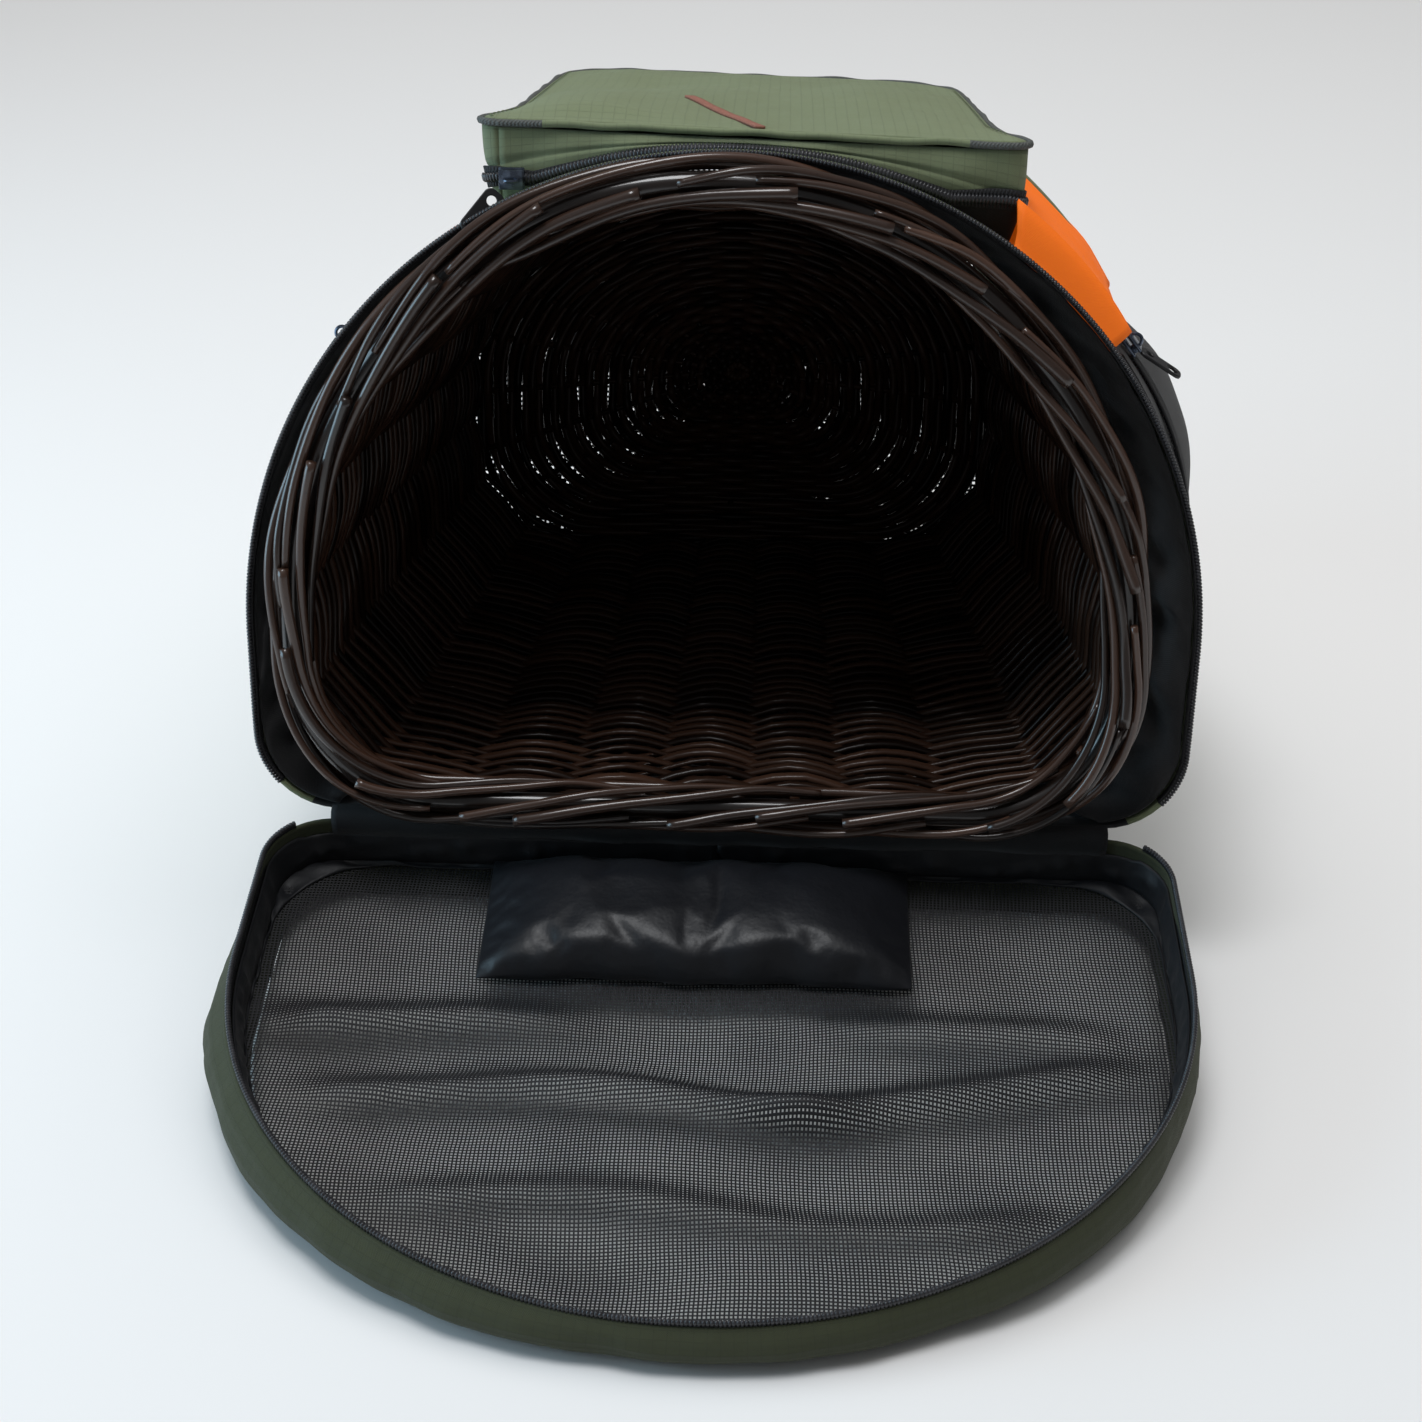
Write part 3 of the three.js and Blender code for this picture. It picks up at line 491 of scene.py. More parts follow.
class Paint:
    """The nodes of one finish, round one Principled shader."""

    def __init__(self, name, **sockets):
        self.material = bpy.data.materials.new(name)
        self.material.use_nodes = True
        self.tree = self.material.node_tree
        self.tree.nodes.clear()
        self.shader = self.tree.nodes.new("ShaderNodeBsdfPrincipled")
        end = self.tree.nodes.new("ShaderNodeOutputMaterial")
        self.tree.links.new(self.shader.outputs[0], end.inputs["Surface"])
        for key, value in sockets.items():
            self.set(key.replace("_", " ").title(), value)

    def node(self, kind, settings=None, inputs=None, out=0):
        """Any node: its settings first, then the values or links of its sockets."""
        made = self.tree.nodes.new(kind)
        for key, value in (settings or {}).items():
            setattr(made, key, value)
        for key, value in (inputs or {}).items():
            self.join(made.inputs[key], value)
        return Value(self, made.outputs[out])

    def join(self, socket, value):
        if isinstance(value, Value):
            self.tree.links.new(value.socket, socket)
        else:
            socket.default_value = value

    def set(self, socket, value):
        if isinstance(value, tuple) and len(value) == 3:
            value = (*value, 1)
        self.join(self.shader.inputs[socket], value)

    def plan(self):
        """The two directions of the piece's own UV map, in metres."""
        uv = self.node("ShaderNodeUVMap", {"uv_map": "UVMap"})
        u, v = (self.node("ShaderNodeSeparateXYZ", {}, {0: uv}, out=axis) for axis in (0, 1))
        return uv, u, v

    def object_space(self):
        return self.node("ShaderNodeTexCoord", out="Object")

    def strand(self):
        return self.node("ShaderNodeAttribute", {"attribute_name": "strand"}, out="Fac")

    def noise(self, place, scale, detail=2.0, rough=0.5):
        inputs = {"Vector": place, "Scale": scale, "Detail": detail, "Roughness": rough}
        return self.node("ShaderNodeTexNoise", {}, inputs)

    def stretched(self, place, scale):
        return self.node("ShaderNodeMapping", {}, {"Vector": place, "Scale": scale})

    def mix(self, factor, a, b):
        """Two colours, mixed."""
        a, b = ((*c, 1) if isinstance(c, tuple) and len(c) == 3 else c for c in (a, b))
        return self.node("ShaderNodeMix", {"data_type": "RGBA"}, {0: factor, 6: a, 7: b}, out=2)

    def bump(self, height):
        """Relief of a height in metres."""
        inputs = {"Height": height, "Distance": 1.0, "Strength": 1.0}
        self.set("Normal", self.node("ShaderNodeBump", {}, inputs))


def shade(colour, by):
    return tuple(min(1.0, c * by) for c in colour)


def cloth_finish(name, colour, roughness=0.85, rip=0.0, crinkle=0.0006, sheen=0.1, spread=0.25, painted_glow=0.0):
    """Woven cloth: thread weave, soft crinkles and, if asked, a grid of thicker threads or a painted glow of
    its own colour.
    """
    weave, thread, thick_thread = 2 * math.pi / 0.0009, 0.00006, 0.00012
    paint = Paint(name)
    paint.set("Sheen Weight", sheen)
    paint.set("Sheen Roughness", 0.5)
    _, u, v = paint.plan()
    place = paint.object_space()
    blotch = paint.noise(place, 14.0, 3.0)
    fine = paint.noise(place, 900.0, 1.0)
    tone = (blotch - 0.5) * spread + (fine - 0.5) * 0.35
    tone = (tone + 0.5).math("MAXIMUM", 0.0)
    low, high = shade(colour, 0.72), shade(colour, 1.28)
    paint_colour = paint.mix(tone, low, high)
    threads = (u * weave).wave() * (v * weave).wave()
    folds = paint.noise(place, 45.0, 3.0, 0.6)
    height = threads * thread + folds * crinkle
    if rip:
        lines = (u.saw(rip) < 0.09).math("MAXIMUM", v.saw(rip) < 0.09)
        height = height + lines * thick_thread
        paint_colour = paint.mix(lines * 0.35, paint_colour, shade(colour, 0.6))
    paint.set("Base Color", paint_colour)
    # painted glow: the cloth gives off light of its own colour, though it is no lamp
    if painted_glow:
        paint.set("Emission Color", colour)
        paint.set("Emission Strength", painted_glow)
    paint.set("Roughness", (fine - 0.5) * 0.2 + roughness)
    paint.bump(height)
    return paint.material


def willow_finish(name, dark, light, lacquer):
    """Lacquered willow: each rod its own brown, with grain along it and darker joints."""
    paint = Paint(name)
    paint.set("Coat Weight", lacquer)
    paint.set("Coat Roughness", 0.1)
    paint.set("Specular IOR Level", 0.5 * lacquer)
    uv, _, _ = paint.plan()
    own = paint.strand()
    grain = paint.noise(paint.stretched(uv, (900.0, 40.0, 1.0)), 1.0, 3.0, 0.6)
    long = paint.noise(paint.stretched(uv, (60.0, 9.0, 1.0)), 1.0, 2.0)
    tone = (own * 0.9 + long * 0.6 + grain * 0.35 - 0.55).math("MAXIMUM", 0.0).math("MINIMUM", 1.0)
    colour = paint.mix(tone, dark, light)
    specks = paint.noise(uv, 420.0, 1.0).ramp(0.66, 0.74)
    colour = paint.mix(specks * 0.5, colour, shade(dark, 0.5))
    paint.set("Base Color", colour)
    paint.set("Roughness", grain * 0.2 + 0.3)
    paint.bump(grain * 0.000005 + long * 0.0002)
    return paint.material


def net_finish(name, colour, coarse, wire):
    """Square net: threads with open holes between them; where the strand value carries painted shade, the
    threads widen and the net darkens.
    """
    pitch = coarse * bpy.context.scene.backpack_sizes.net_pitch
    paint = Paint(name, roughness=0.6)
    uv, u, v = paint.plan()
    wobble = (paint.noise(uv, 60.0, 1.0) - 0.5) * (0.5 * pitch)
    across, along = (u + wobble).saw(pitch), (v + wobble).saw(pitch)
    # painted shade: the threads widen and close the holes where the strand value is high
    shaded_width = paint.strand() * 0.42 + wire
    thread = (across < shaded_width).math("MAXIMUM", along < shaded_width)
    tone = paint.noise(uv, 2000.0, 1.0)
    paint.set("Base Color", paint.mix(tone, shade(colour, 0.6), shade(colour, 1.5)))
    paint.set("Alpha", thread)
    paint.bump(across.math("MINIMUM", along) * -0.0002)
    return paint.material


def satin_finish(name, colour, roughness):
    """Smooth lining cloth with a soft shine, fine creases and painted shade, darker in the creases and
    lighter on their crests.
    """
    paint = Paint(name)
    paint.set("Specular IOR Level", 0.42)
    paint.set("Sheen Weight", 0.02)
    place = paint.object_space()
    folds = paint.noise(place, 38.0, 4.0, 0.6)
    fine = paint.noise(place, 900.0, 2.0)
    # painted shade: the colour follows the fold height, darker in the creases and lighter on the crests
    paint.set("Base Color", paint.mix(folds, shade(colour, 0.7), shade(colour, 1.6)))
    paint.set("Roughness", fine * 0.12 + roughness)
    paint.bump(folds * 0.0009 + fine * 0.00003)
    return paint.material


def webbing_finish(name, colour):
    """Flat woven tape with a rib across it."""
    paint = Paint(name, roughness=0.75)
    uv, u, v = paint.plan()
    ribs = (v * (2 * math.pi / 0.0016)).wave() * (u * (2 * math.pi / 0.0022)).wave()
    tone = paint.noise(uv, 700.0, 2.0)
    paint.set("Base Color", paint.mix(tone, shade(colour, 0.6), shade(colour, 1.6)))
    paint.bump(ribs * 0.00025)
    return paint.material


def plastic_finish(name, colour, roughness):
    """Moulded plastic with a fine grain and rubbed places."""
    paint = Paint(name)
    place = paint.object_space()
    grain = paint.noise(place, 1600.0, 2.0)
    worn = paint.noise(place, 90.0, 3.0).ramp(0.45, 0.75)
    paint.set("Base Color", paint.mix(worn, colour, shade(colour, 1.8)))
    paint.set("Roughness", worn * 0.12 + grain * 0.1 + (roughness - 0.1))
    paint.bump(grain * 0.00005)
    return paint.material


def metal_finish(name, colour):
    """Painted metal, worn bright in places."""
    paint = Paint(name)
    paint.set("Metallic", 0.85)
    place = paint.object_space()
    worn = paint.noise(place, 220.0, 3.0).ramp(0.5, 0.72)
    paint.set("Base Color", paint.mix(worn, colour, shade(colour, 1.9)))
    paint.set("Roughness", worn * 0.2 + 0.25)
    return paint.material


# Finishes by name: maker, colours with a factor each, and settings

WILLOW = {"willow_dark": 1.0, "willow_light": 1.0}
FINISHES = {
    "olive_ripstop": (cloth_finish, {"olive": 1.0}, {"roughness": 0.8, "rip": 0.005}),
    # The lid's wall: the olive ripstop in a darker copy, painted shade on the wall.
    "lid_ripstop": (cloth_finish, {"shaded_lid_olive": 1.0}, {"rip": 0.005, "crinkle": 0.0012, "sheen": 0.03}),
    # The orange cloth has a painted glow: it gives off light of its own.
    "orange_cloth": (
        cloth_finish,
        {"orange": 1.0},
        {"roughness": 0.7, "sheen": 0.0, "spread": 0.12, "painted_glow": 0.18},
    ),
    "black_cloth": (cloth_finish, {"black": 1.0}, {"roughness": 0.8}),
    "lid_inside": (cloth_finish, {"lid_inside": 1.0}, {"roughness": 0.9, "sheen": 0.0, "spread": 0.15}),
    "satin": (satin_finish, {"satin": 1.0}, {"roughness": 0.36}),
    "navy_lining": (satin_finish, {"satin": 0.8}, {"roughness": 0.5}),
    "willow": (willow_finish, WILLOW, {"lacquer": 0.7}),
    "inner_willow": (willow_finish, WILLOW, {"lacquer": 0.2}),
    "lid_net": (net_finish, {"net": 1.0}, {"coarse": 1.0, "wire": 0.42}),
    "foot_net": (net_finish, {"net": 1.0}, {"coarse": 1.9, "wire": 0.5}),
    "zip_tape": (webbing_finish, {"black": 1.3}, {}),
    "zip_coil": (plastic_finish, {"black": 3.6}, {"roughness": 0.36}),
    "webbing": (webbing_finish, {"black": 1.4}, {}),
    "piping": (webbing_finish, {"piping": 1.0}, {}),
    "patch": (webbing_finish, {"patch": 1.0}, {}),
    "thread": (webbing_finish, {"olive": 0.85}, {}),
    "plastic": (plastic_finish, {"plastic": 1.0}, {"roughness": 0.42}),
    "slider_metal": (metal_finish, {"metal": 1.0}, {}),
}


def finish(context, key):
    """The finish of that name, made once; the frame's own finishes have other names."""
    name = f"{key}_finish"
    found = bpy.data.materials.get(name)
    if found:
        return found
    maker, tints, settings = FINISHES[key]
    colours = context.scene.backpack_colours
    shades = [shade(tuple(getattr(colours, tint)), by) for tint, by in tints.items()]
    return maker(name, *shades, **settings)


# Sizes, colours and light that a user would change


def length(name, text, value):
    return FloatProperty(
        name=name, description=text, default=value, min=0.0001, unit="LENGTH", precision=5
    )


def count(name, text, value):
    return IntProperty(name=name, description=text, default=value, min=6)


def colour(name, text, value):
    return FloatVectorProperty(
        name=name, description=text, default=value, min=0, max=1, size=3, subtype="COLOR"
    )


def strength(name, text, value):
    return FloatProperty(name=name, description=text, default=value, min=0)


class BackpackSizes(bpy.types.PropertyGroup):
    weaver_radius: length("Weaver Radius", "Half of the width of the rods woven round the basket", 0.0031)
    weaver_pitch: length("Weaver Pitch", "Distance between two rows of weavers", 0.0051)
    stake_radius: length("Stake Radius", "Radius of the upright stakes", 0.0024)
    stakes: count("Stakes", "Upright stakes round the basket", 24)
    rim_rods: count("Rim Rods", "Rods laid round the rim in each of its two layers", 22)
    rim_radius: length("Rim Rod Radius", "Radius of the rods in the rim", 0.0023)
    tooth_pitch: length("Tooth Pitch", "Distance between two turns of the zip's coil", 0.0016)
    net_pitch: length("Net Pitch", "Distance between two threads of the lid's net", 0.0017)
    stitch: length("Stitch Length", "Length of one sewn stitch", 0.0032)
    cloth: length("Cloth Thickness", "Thickness of the bag's cloth", 0.0016)


class BackpackColours(bpy.types.PropertyGroup):
    olive: colour("Olive", "Cloth of the bag and the front pocket", (0.153, 0.184, 0.098))
    # The lid's wall is the bag's olive cloth; this darker copy of it is painted shade.
    shaded_lid_olive: colour("Lid Olive", "Cloth of the lid's wall", (0.036, 0.042, 0.019))
    orange: colour("Orange", "Cloth of the side panels", (1.0, 0.16, 0.002))
    black: colour("Black", "Black cloth, tape and webbing", (0.006, 0.006, 0.0068))
    satin: colour("Satin", "Lining cloth and the pouch", (0.0045, 0.0050, 0.0068))
    lid_inside: colour("Lid Inside", "Pale cloth under the lid's net", (0.86, 0.88, 0.84))
    net: colour("Net", "Threads of the nets", (0.007, 0.007, 0.0085))
    willow_dark: colour("Dark Willow", "Darkest brown of the rods", (0.0085, 0.0040, 0.0024))
    willow_light: colour("Light Willow", "Lightest brown of the rods", (0.070, 0.033, 0.020))
    piping: colour("Piping", "Cord round the front pocket", (0.075, 0.080, 0.075))
    patch: colour("Patch", "Strip on the front pocket", (0.25, 0.105, 0.075))
    plastic: colour("Plastic", "Pull tabs and buckles", (0.010, 0.010, 0.011))
    metal: colour("Slider Metal", "Zip sliders", (0.10, 0.12, 0.16))
    floor: colour("Floor", "Plain studio floor", (0.80, 0.80, 0.80))


class BackpackStudio(bpy.types.PropertyGroup):
    key: strength("Key Light", "Power of the large light above, in watts", 98.0)
    window: strength("Glint Light", "Power of the lamp that glints on the rods, in watts", 22.0)
    side: strength("Side Light", "Power of the cool light from the left, in watts", 23.0)
    sky: strength("Surrounding Light", "Strength of the even light from all round", 0.16)


# Stage


class BackpackStage(bpy.types.Operator):
    """Lays the floor and sets up the lights and the camera"""

    bl_idname = "backpack.stage"
    bl_label = "Stage"

    def execute(self, context):
        self.floor(context)
        self.light(context)
        self.camera(context)
        return {"FINISHED"}

    @staticmethod
    def floor(context):
        bm = bmesh.new()
        level = Matrix.Translation((0, 0, -0.0005))
        bmesh.ops.create_grid(bm, x_segments=2, y_segments=2, size=6, matrix=level)
        mesh = bpy.data.meshes.new("floor")
        bm.to_mesh(mesh)
        bm.free()
        paint = Paint("pale_floor", roughness=0.9)
        tint = tuple(context.scene.backpack_colours.floor)
        cloud = paint.noise(paint.object_space(), 3.0, 2.0)
        paint.set("Base Color", paint.mix(cloud, shade(tint, 0.995), shade(tint, 1.005)))
        paint.set("Specular IOR Level", 0.1)
        mesh.materials.append(paint.material)
        put("floor", mesh)

    def light(self, context):
        studio = context.scene.backpack_studio
        world = bpy.data.worlds.new("studio")
        world.use_nodes = True
        sky = world.node_tree.nodes["Background"]
        sky.inputs["Color"].default_value = (0.97, 0.985, 1.0, 1)
        sky.inputs["Strength"].default_value = studio.sky
        context.scene.world = world
        warm, pale, cool = (1.0, 0.99, 0.975), (0.97, 0.98, 1.0), (0.52, 0.80, 1.0)
        self.lamp("ceiling", studio.key, 5.0, (0.25, 1.6, 3.0), (0.25, 1.6, 0.0), warm, False)
        self.lamp("window", studio.window, 0.75, (-0.3, -0.4, 2.3), (-0.05, -0.1, 0.1), pale)
        self.lamp("side", studio.side, 1.2, (-1.9, -0.35, 0.6), (0.0, -0.15, 0.1), cool)

    @staticmethod
    def camera(context):
        data = bpy.data.cameras.new("camera")
        data.lens, data.sensor_width, data.clip_start = 55.696, 36, 0.01
        camera = put("camera", data)
        camera.location = (0.02106, -0.96488, 0.61354)
        camera.rotation_euler = [math.radians(a) for a in (60.9015, -0.5776, 2.0240)]
        context.scene.camera = camera
        context.scene.view_settings.view_transform = "Standard"

    @staticmethod
    def lamp(name, power, size, place, aim, tint, glint=True):
        """A square lamp; without glint it isn't seen in reflections."""
        data = bpy.data.lights.new(name, "AREA")
        data.energy, data.size, data.color = power, size, tint
        lamp = put(name, data)
        lamp.location = place
        lamp.rotation_euler = (Vector(aim) - Vector(place)).to_track_quat("-Z", "Y").to_euler()
        lamp.visible_glossy = glint


# Basket


def in_basket(flat, depth):
    """Points (across, up) round the basket's middle, at a depth in the bag."""
    return xyz(flat[..., 0] + BASKET_SHIFT, depth, flat[..., 1])


class BackpackBasketWall(bpy.types.Operator):
    """Weaves the basket's wall: rods in and out round upright stakes"""

    bl_idname = "backpack.basket_wall"
    bl_label = "Basket Wall"

    def execute(self, context):
        size, rng, work = context.scene.backpack_sizes, np.random.default_rng(11), Workpiece()
        radius, pitch, stake = size.weaver_radius / MM, size.weaver_pitch / MM, size.stake_radius / MM
        inside, squash, near, far, lean = -6.5, 0.62, 11, 413, 0.16
        shares = np.arange(6 * size.stakes) / (6 * size.stakes)
        leaning = shares + lean / size.stakes * np.sin(6 * np.pi * shares)
        for k in range(int((far - near) / pitch)):
            depth = near + pitch * (k + 0.5)
            by = inside + (stake + squash * radius) * np.cos(np.pi * (size.stakes * leaning + k))
            by = np.minimum(by + rng.normal(0, 0.12, len(shares)), -squash * radius - 0.2)
            path = in_basket(d_ring(at_depth(BASKET, depth), shares, by), depth)
            for high, waves, drift in ((2.2, 2, 0.03), (1.5, 5, 0.05), (1.6, 9, 0.04)):
                path[:, 1] += high * np.sin(2 * np.pi * (waves * shares + drift * k))
            path[:, 1] += 0.4 * np.sin(2 * np.pi * (3 * shares + rng.uniform())) + rng.normal(0, 0.25)
            thick = radius * rng.uniform(0.76, 1.1)
            thick = thick * (1 + 0.1 * np.sin(2 * np.pi * (3 * shares + rng.uniform())))
            work.rod(in_bag(path), thick * MM, DEPTH_WAY, closed=True, strand=rng.uniform(), squash=squash)
        for i in range(size.stakes):
            share = np.array([i - lean * math.sin(6 * math.pi * i / size.stakes)]) / size.stakes
            path = [
                in_basket(d_ring(at_depth(BASKET, depth), share, inside), depth)[0]
                for depth in np.linspace(near - 1, far, 50)
            ]
            work.rod(in_bag(path), stake * MM, np.array([0.3, 0, 1.0]), strand=rng.uniform())
        wall = work.piece("basket_wall_weave", finish(context, "inner_willow"), outward=True)
        settle(wall, "willow", "basket_wall")
        return {"FINISHED"}


class BackpackBasketBase(bpy.types.Operator):
    """Weaves the basket's base: rings of rods over spokes"""

    bl_idname = "backpack.basket_base"
    bl_label = "Basket Base"

    def execute(self, context):
        rng, work = np.random.default_rng(12), Workpiece()
        spokes, rings, inside, thickest, thinnest = 24, 35, -7.5, 2.7, 1.7
        middle = np.array([4.0, 138.0])

        def spot(shares, f):
            edge = d_ring(at_depth(BASKET, BASE_DEPTH), shares, inside)
            return in_basket(middle + (edge - middle) * f[:, None], BASE_DEPTH - 4.5 - 6 * (1 - f**2))

        shares = np.arange(6 * spokes) / (6 * spokes)
        for k in range(rings):
            f = 0.02 + 0.98 * (k + 0.5) / rings
            path = spot(shares, f + 0.004 * np.sin(2 * np.pi * (4 * shares + rng.uniform())))
            path[:, 1] += 2.0 * np.cos(np.pi * (spokes * shares + k))
            thin = 0.75 * np.maximum(0, ripple(shares * ROUND, 40 * k, 121, 30, 90)) ** 2
            thick = np.clip(thickest - thin * (0.25 + 0.5 * (k % 4 == 1)), thinnest, thickest)
            work.rod(in_bag(path), thick * MM, DEPTH_WAY, closed=True, strand=rng.uniform())
        f = np.linspace(0.0, 0.99, 20)
        for i in range(spokes):
            path = spot(np.full(len(f), i / spokes), f)
            work.rod(in_bag(path), lerp(1.5, 2.2, f) * MM, DEPTH_WAY, strand=rng.uniform())
        base = work.piece("basket_base_weave", finish(context, "inner_willow"), outward=True)
        settle(base, "willow", "basket_base")
        return {"FINISHED"}


class BackpackBasketRim(bpy.types.Operator):
    """Lays the rim: rods that pass from the outside over the edge to the inside"""

    bl_idname = "backpack.basket_rim"
    bl_label = "Basket Rim"

    # Rods that go all the way round: distance from the rim's middle, angle round it, radius
    LONG_RODS = ((0, 0, 5.2), (9.0, -40, 2.7), (9.2, 226, 2.5))
    # Layers of crossing rods: first and last angle, reach in rods, how far the start stands out
    LAYERS = ((-46, 74, 2.8, 0.0), (78, 208, 3.0, 2.4))

    def execute(self, context):
        size, rng, work = context.scene.backpack_sizes, np.random.default_rng(13), Workpiece()
        count, thick = size.rim_rods, size.rim_radius / MM
        ring = np.arange(240) / 240
        for arm, angle, radius in self.LONG_RODS:
            wobble = 0.9 * ripple(ring * ROUND, 0, 130 + angle, 90, 260)
            turn = np.radians(angle + 6 * ripple(ring * ROUND, 0, 140 + angle, 120, 300))
            path = in_bag(self.spot(ring, turn, arm + wobble * (arm > 0)))
            # painted shade: the core rod in the rim's middle takes the darkest brown, so the gaps between the
            # rods read as shade
            strand = 0.0 if arm == 0 else rng.uniform(0.2, 0.8)
            work.rod(path, radius * MM, DEPTH_WAY, 8, closed=True, strand=strand)
        t = np.linspace(0, 1, 44)
        for first, last, reach, proud in self.LAYERS:
            for i in range(count):
                start = (i + 0.5 * (proud > 0) + rng.uniform(-0.3, 0.3)) / count
                shares = start + reach * rng.uniform(0.85, 1.25) / count * t
                turn = np.radians(lerp(first + rng.uniform(-16, 16), last + rng.uniform(-12, 12), t))
                arm = 9.6 + rng.uniform(-0.7, 0.9) + 0.9 * np.sin(2 * np.pi * (1.5 * t + rng.uniform()))
                arm = arm + proud * (1 - smoothstep(t, 0.0, 0.25)) - 1.8 * smoothstep(t, 0.75, 1.0)
                path = in_bag(self.spot(shares, turn, arm))
                radius = thick * rng.uniform(0.88, 1.1) * lerp(1.16, 0.72, t)
                work.rod(path, radius * MM, DEPTH_WAY, 8, strand=rng.uniform(0.1, 1.0))
        rim = work.piece("basket_rim_rods", finish(context, "willow"), outward=True)
        settle(rim, "willow", "basket_rim")
        return {"FINISHED"}

    @staticmethod
    def spot(shares, turn, arm):
        """Points at an angle and a distance round the rim's middle line, which dips at the flat side."""
        near = d_ring(RIM, shares, arm * np.cos(turn))
        low = 1 - smoothstep(near[:, 1], 30, 120)
        rise = 5 * smoothstep(near[:, 1], 230, 300) - 3.5 * low
        depth = -4 - arm * np.sin(turn) - 4 * low
        return xyz(near[:, 0] + BASKET_SHIFT, depth, near[:, 1] + rise)


# Bag


class BackpackBag(bpy.types.Operator):
    """Makes the cloth bag: sleeve, open net foot and the dark collar inside the mouth"""

    bl_idname = "backpack.bag"
    bl_label = "Bag"

    def execute(self, context):
        self.sleeve(context)
        self.foot(context)
        self.collar(context)
        return {"FINISHED"}

    @staticmethod
    def sleeve(context):
        shares = np.linspace(0, 1, 211)
        depths = np.concatenate([[4.6, 7, 10, 13, 18], np.linspace(28, 428, 50), [434, FOOT_DEPTH]])
        way = shares[:, None] * ROUND
        slack = 1.6 * ripple(way, depths[None], 21, 60, 160) + 0.5 * ripple(way, depths[None], 22, 18, 40)
        slack = slack * smoothstep(depths, 10, 60)[None] * smoothstep(FOOT_DEPTH - depths, 0, 30)[None]
        slack[(shares < 0.17) | (shares > 0.83)] *= 0.25
        back = (shares[:-1] < 6.4 / MOUTH_STEPS) | (shares[:-1] >= 35.6 / MOUTH_STEPS)
        points = in_bag(section_rows(SHELL, depths, shares, slack - 0.4))
        work = Workpiece()
        work.grid(points, slot=back[:, None].astype(int))
        finishes = [finish(context, "olive_ripstop"), finish(context, "black_cloth")]
        ply = context.scene.backpack_sizes.cloth
        sleeve = cloth_piece(work, "bag_sleeve", finishes, points, ply)
        settle(sleeve, "olive_cloth", "bag_shell")

    @staticmethod
    def foot(context):
        edge = d_ring(at_depth(SHELL, FOOT_DEPTH), np.linspace(0, 1, 145), -1.0)
        f, flat = fan(edge, (0, 138), 26)
        points = in_bag(xyz(flat[..., 0], FOOT_DEPTH + 1.3 + 8 * (1 - f**2), flat[..., 1]))
        work = Workpiece()
        work.grid(points, flat * MM)
        net = finish(context, "foot_net")
        foot = cloth_piece(work, "bag_foot_net", net, points, cut=(0.35, 0.245))
        settle(foot, "black_net", "bag_bottom")

    @staticmethod
    def collar(context):
        shares = np.linspace(6 / MOUTH_STEPS, 36 / MOUTH_STEPS, 261)
        outer = d_ring(MOUTH, shares, -2.6)
        inner = d_ring(RIM, shares, 9.5) + np.array([BASKET_SHIFT, 0])
        t = np.linspace(0, 1, 15)[None]
        p = outer[:, None] + (inner - outer)[:, None] * smoothstep(t, -0.2, 1.05)[..., None]
        depth = 5 + 20 * np.sin(t * np.pi * 0.55) ** 1.5 + 30 * smoothstep(t, 0.75, 1.0)
        fold = ripple(shares[:, None] * ROUND, 30 * t, 31, 14, 40, 9) * np.sin(np.pi * np.clip(t * 1.1, 0, 1))
        deeper = 1.0 + 1.3 * (np.abs(shares - 0.5) > 0.26)[:, None]
        points = in_bag(xyz(p[..., 0], depth + 2.6 * fold * deeper, p[..., 1]))
        work = Workpiece()
        work.grid(points, flip=True)
        black = finish(context, "black_cloth")
        collar = cloth_piece(work, "mouth_collar", black, points, 0.0009)
        settle(collar, "black_cloth", "mouth_lining")


def zip_piece(context, work, name, node, thick):
    """A zip's tape and coil, as one piece."""
    finishes = [finish(context, "zip_tape"), finish(context, "zip_coil")]
    settle(work.piece(name, finishes, outward=True, tape=thick), "black_cloth", node)


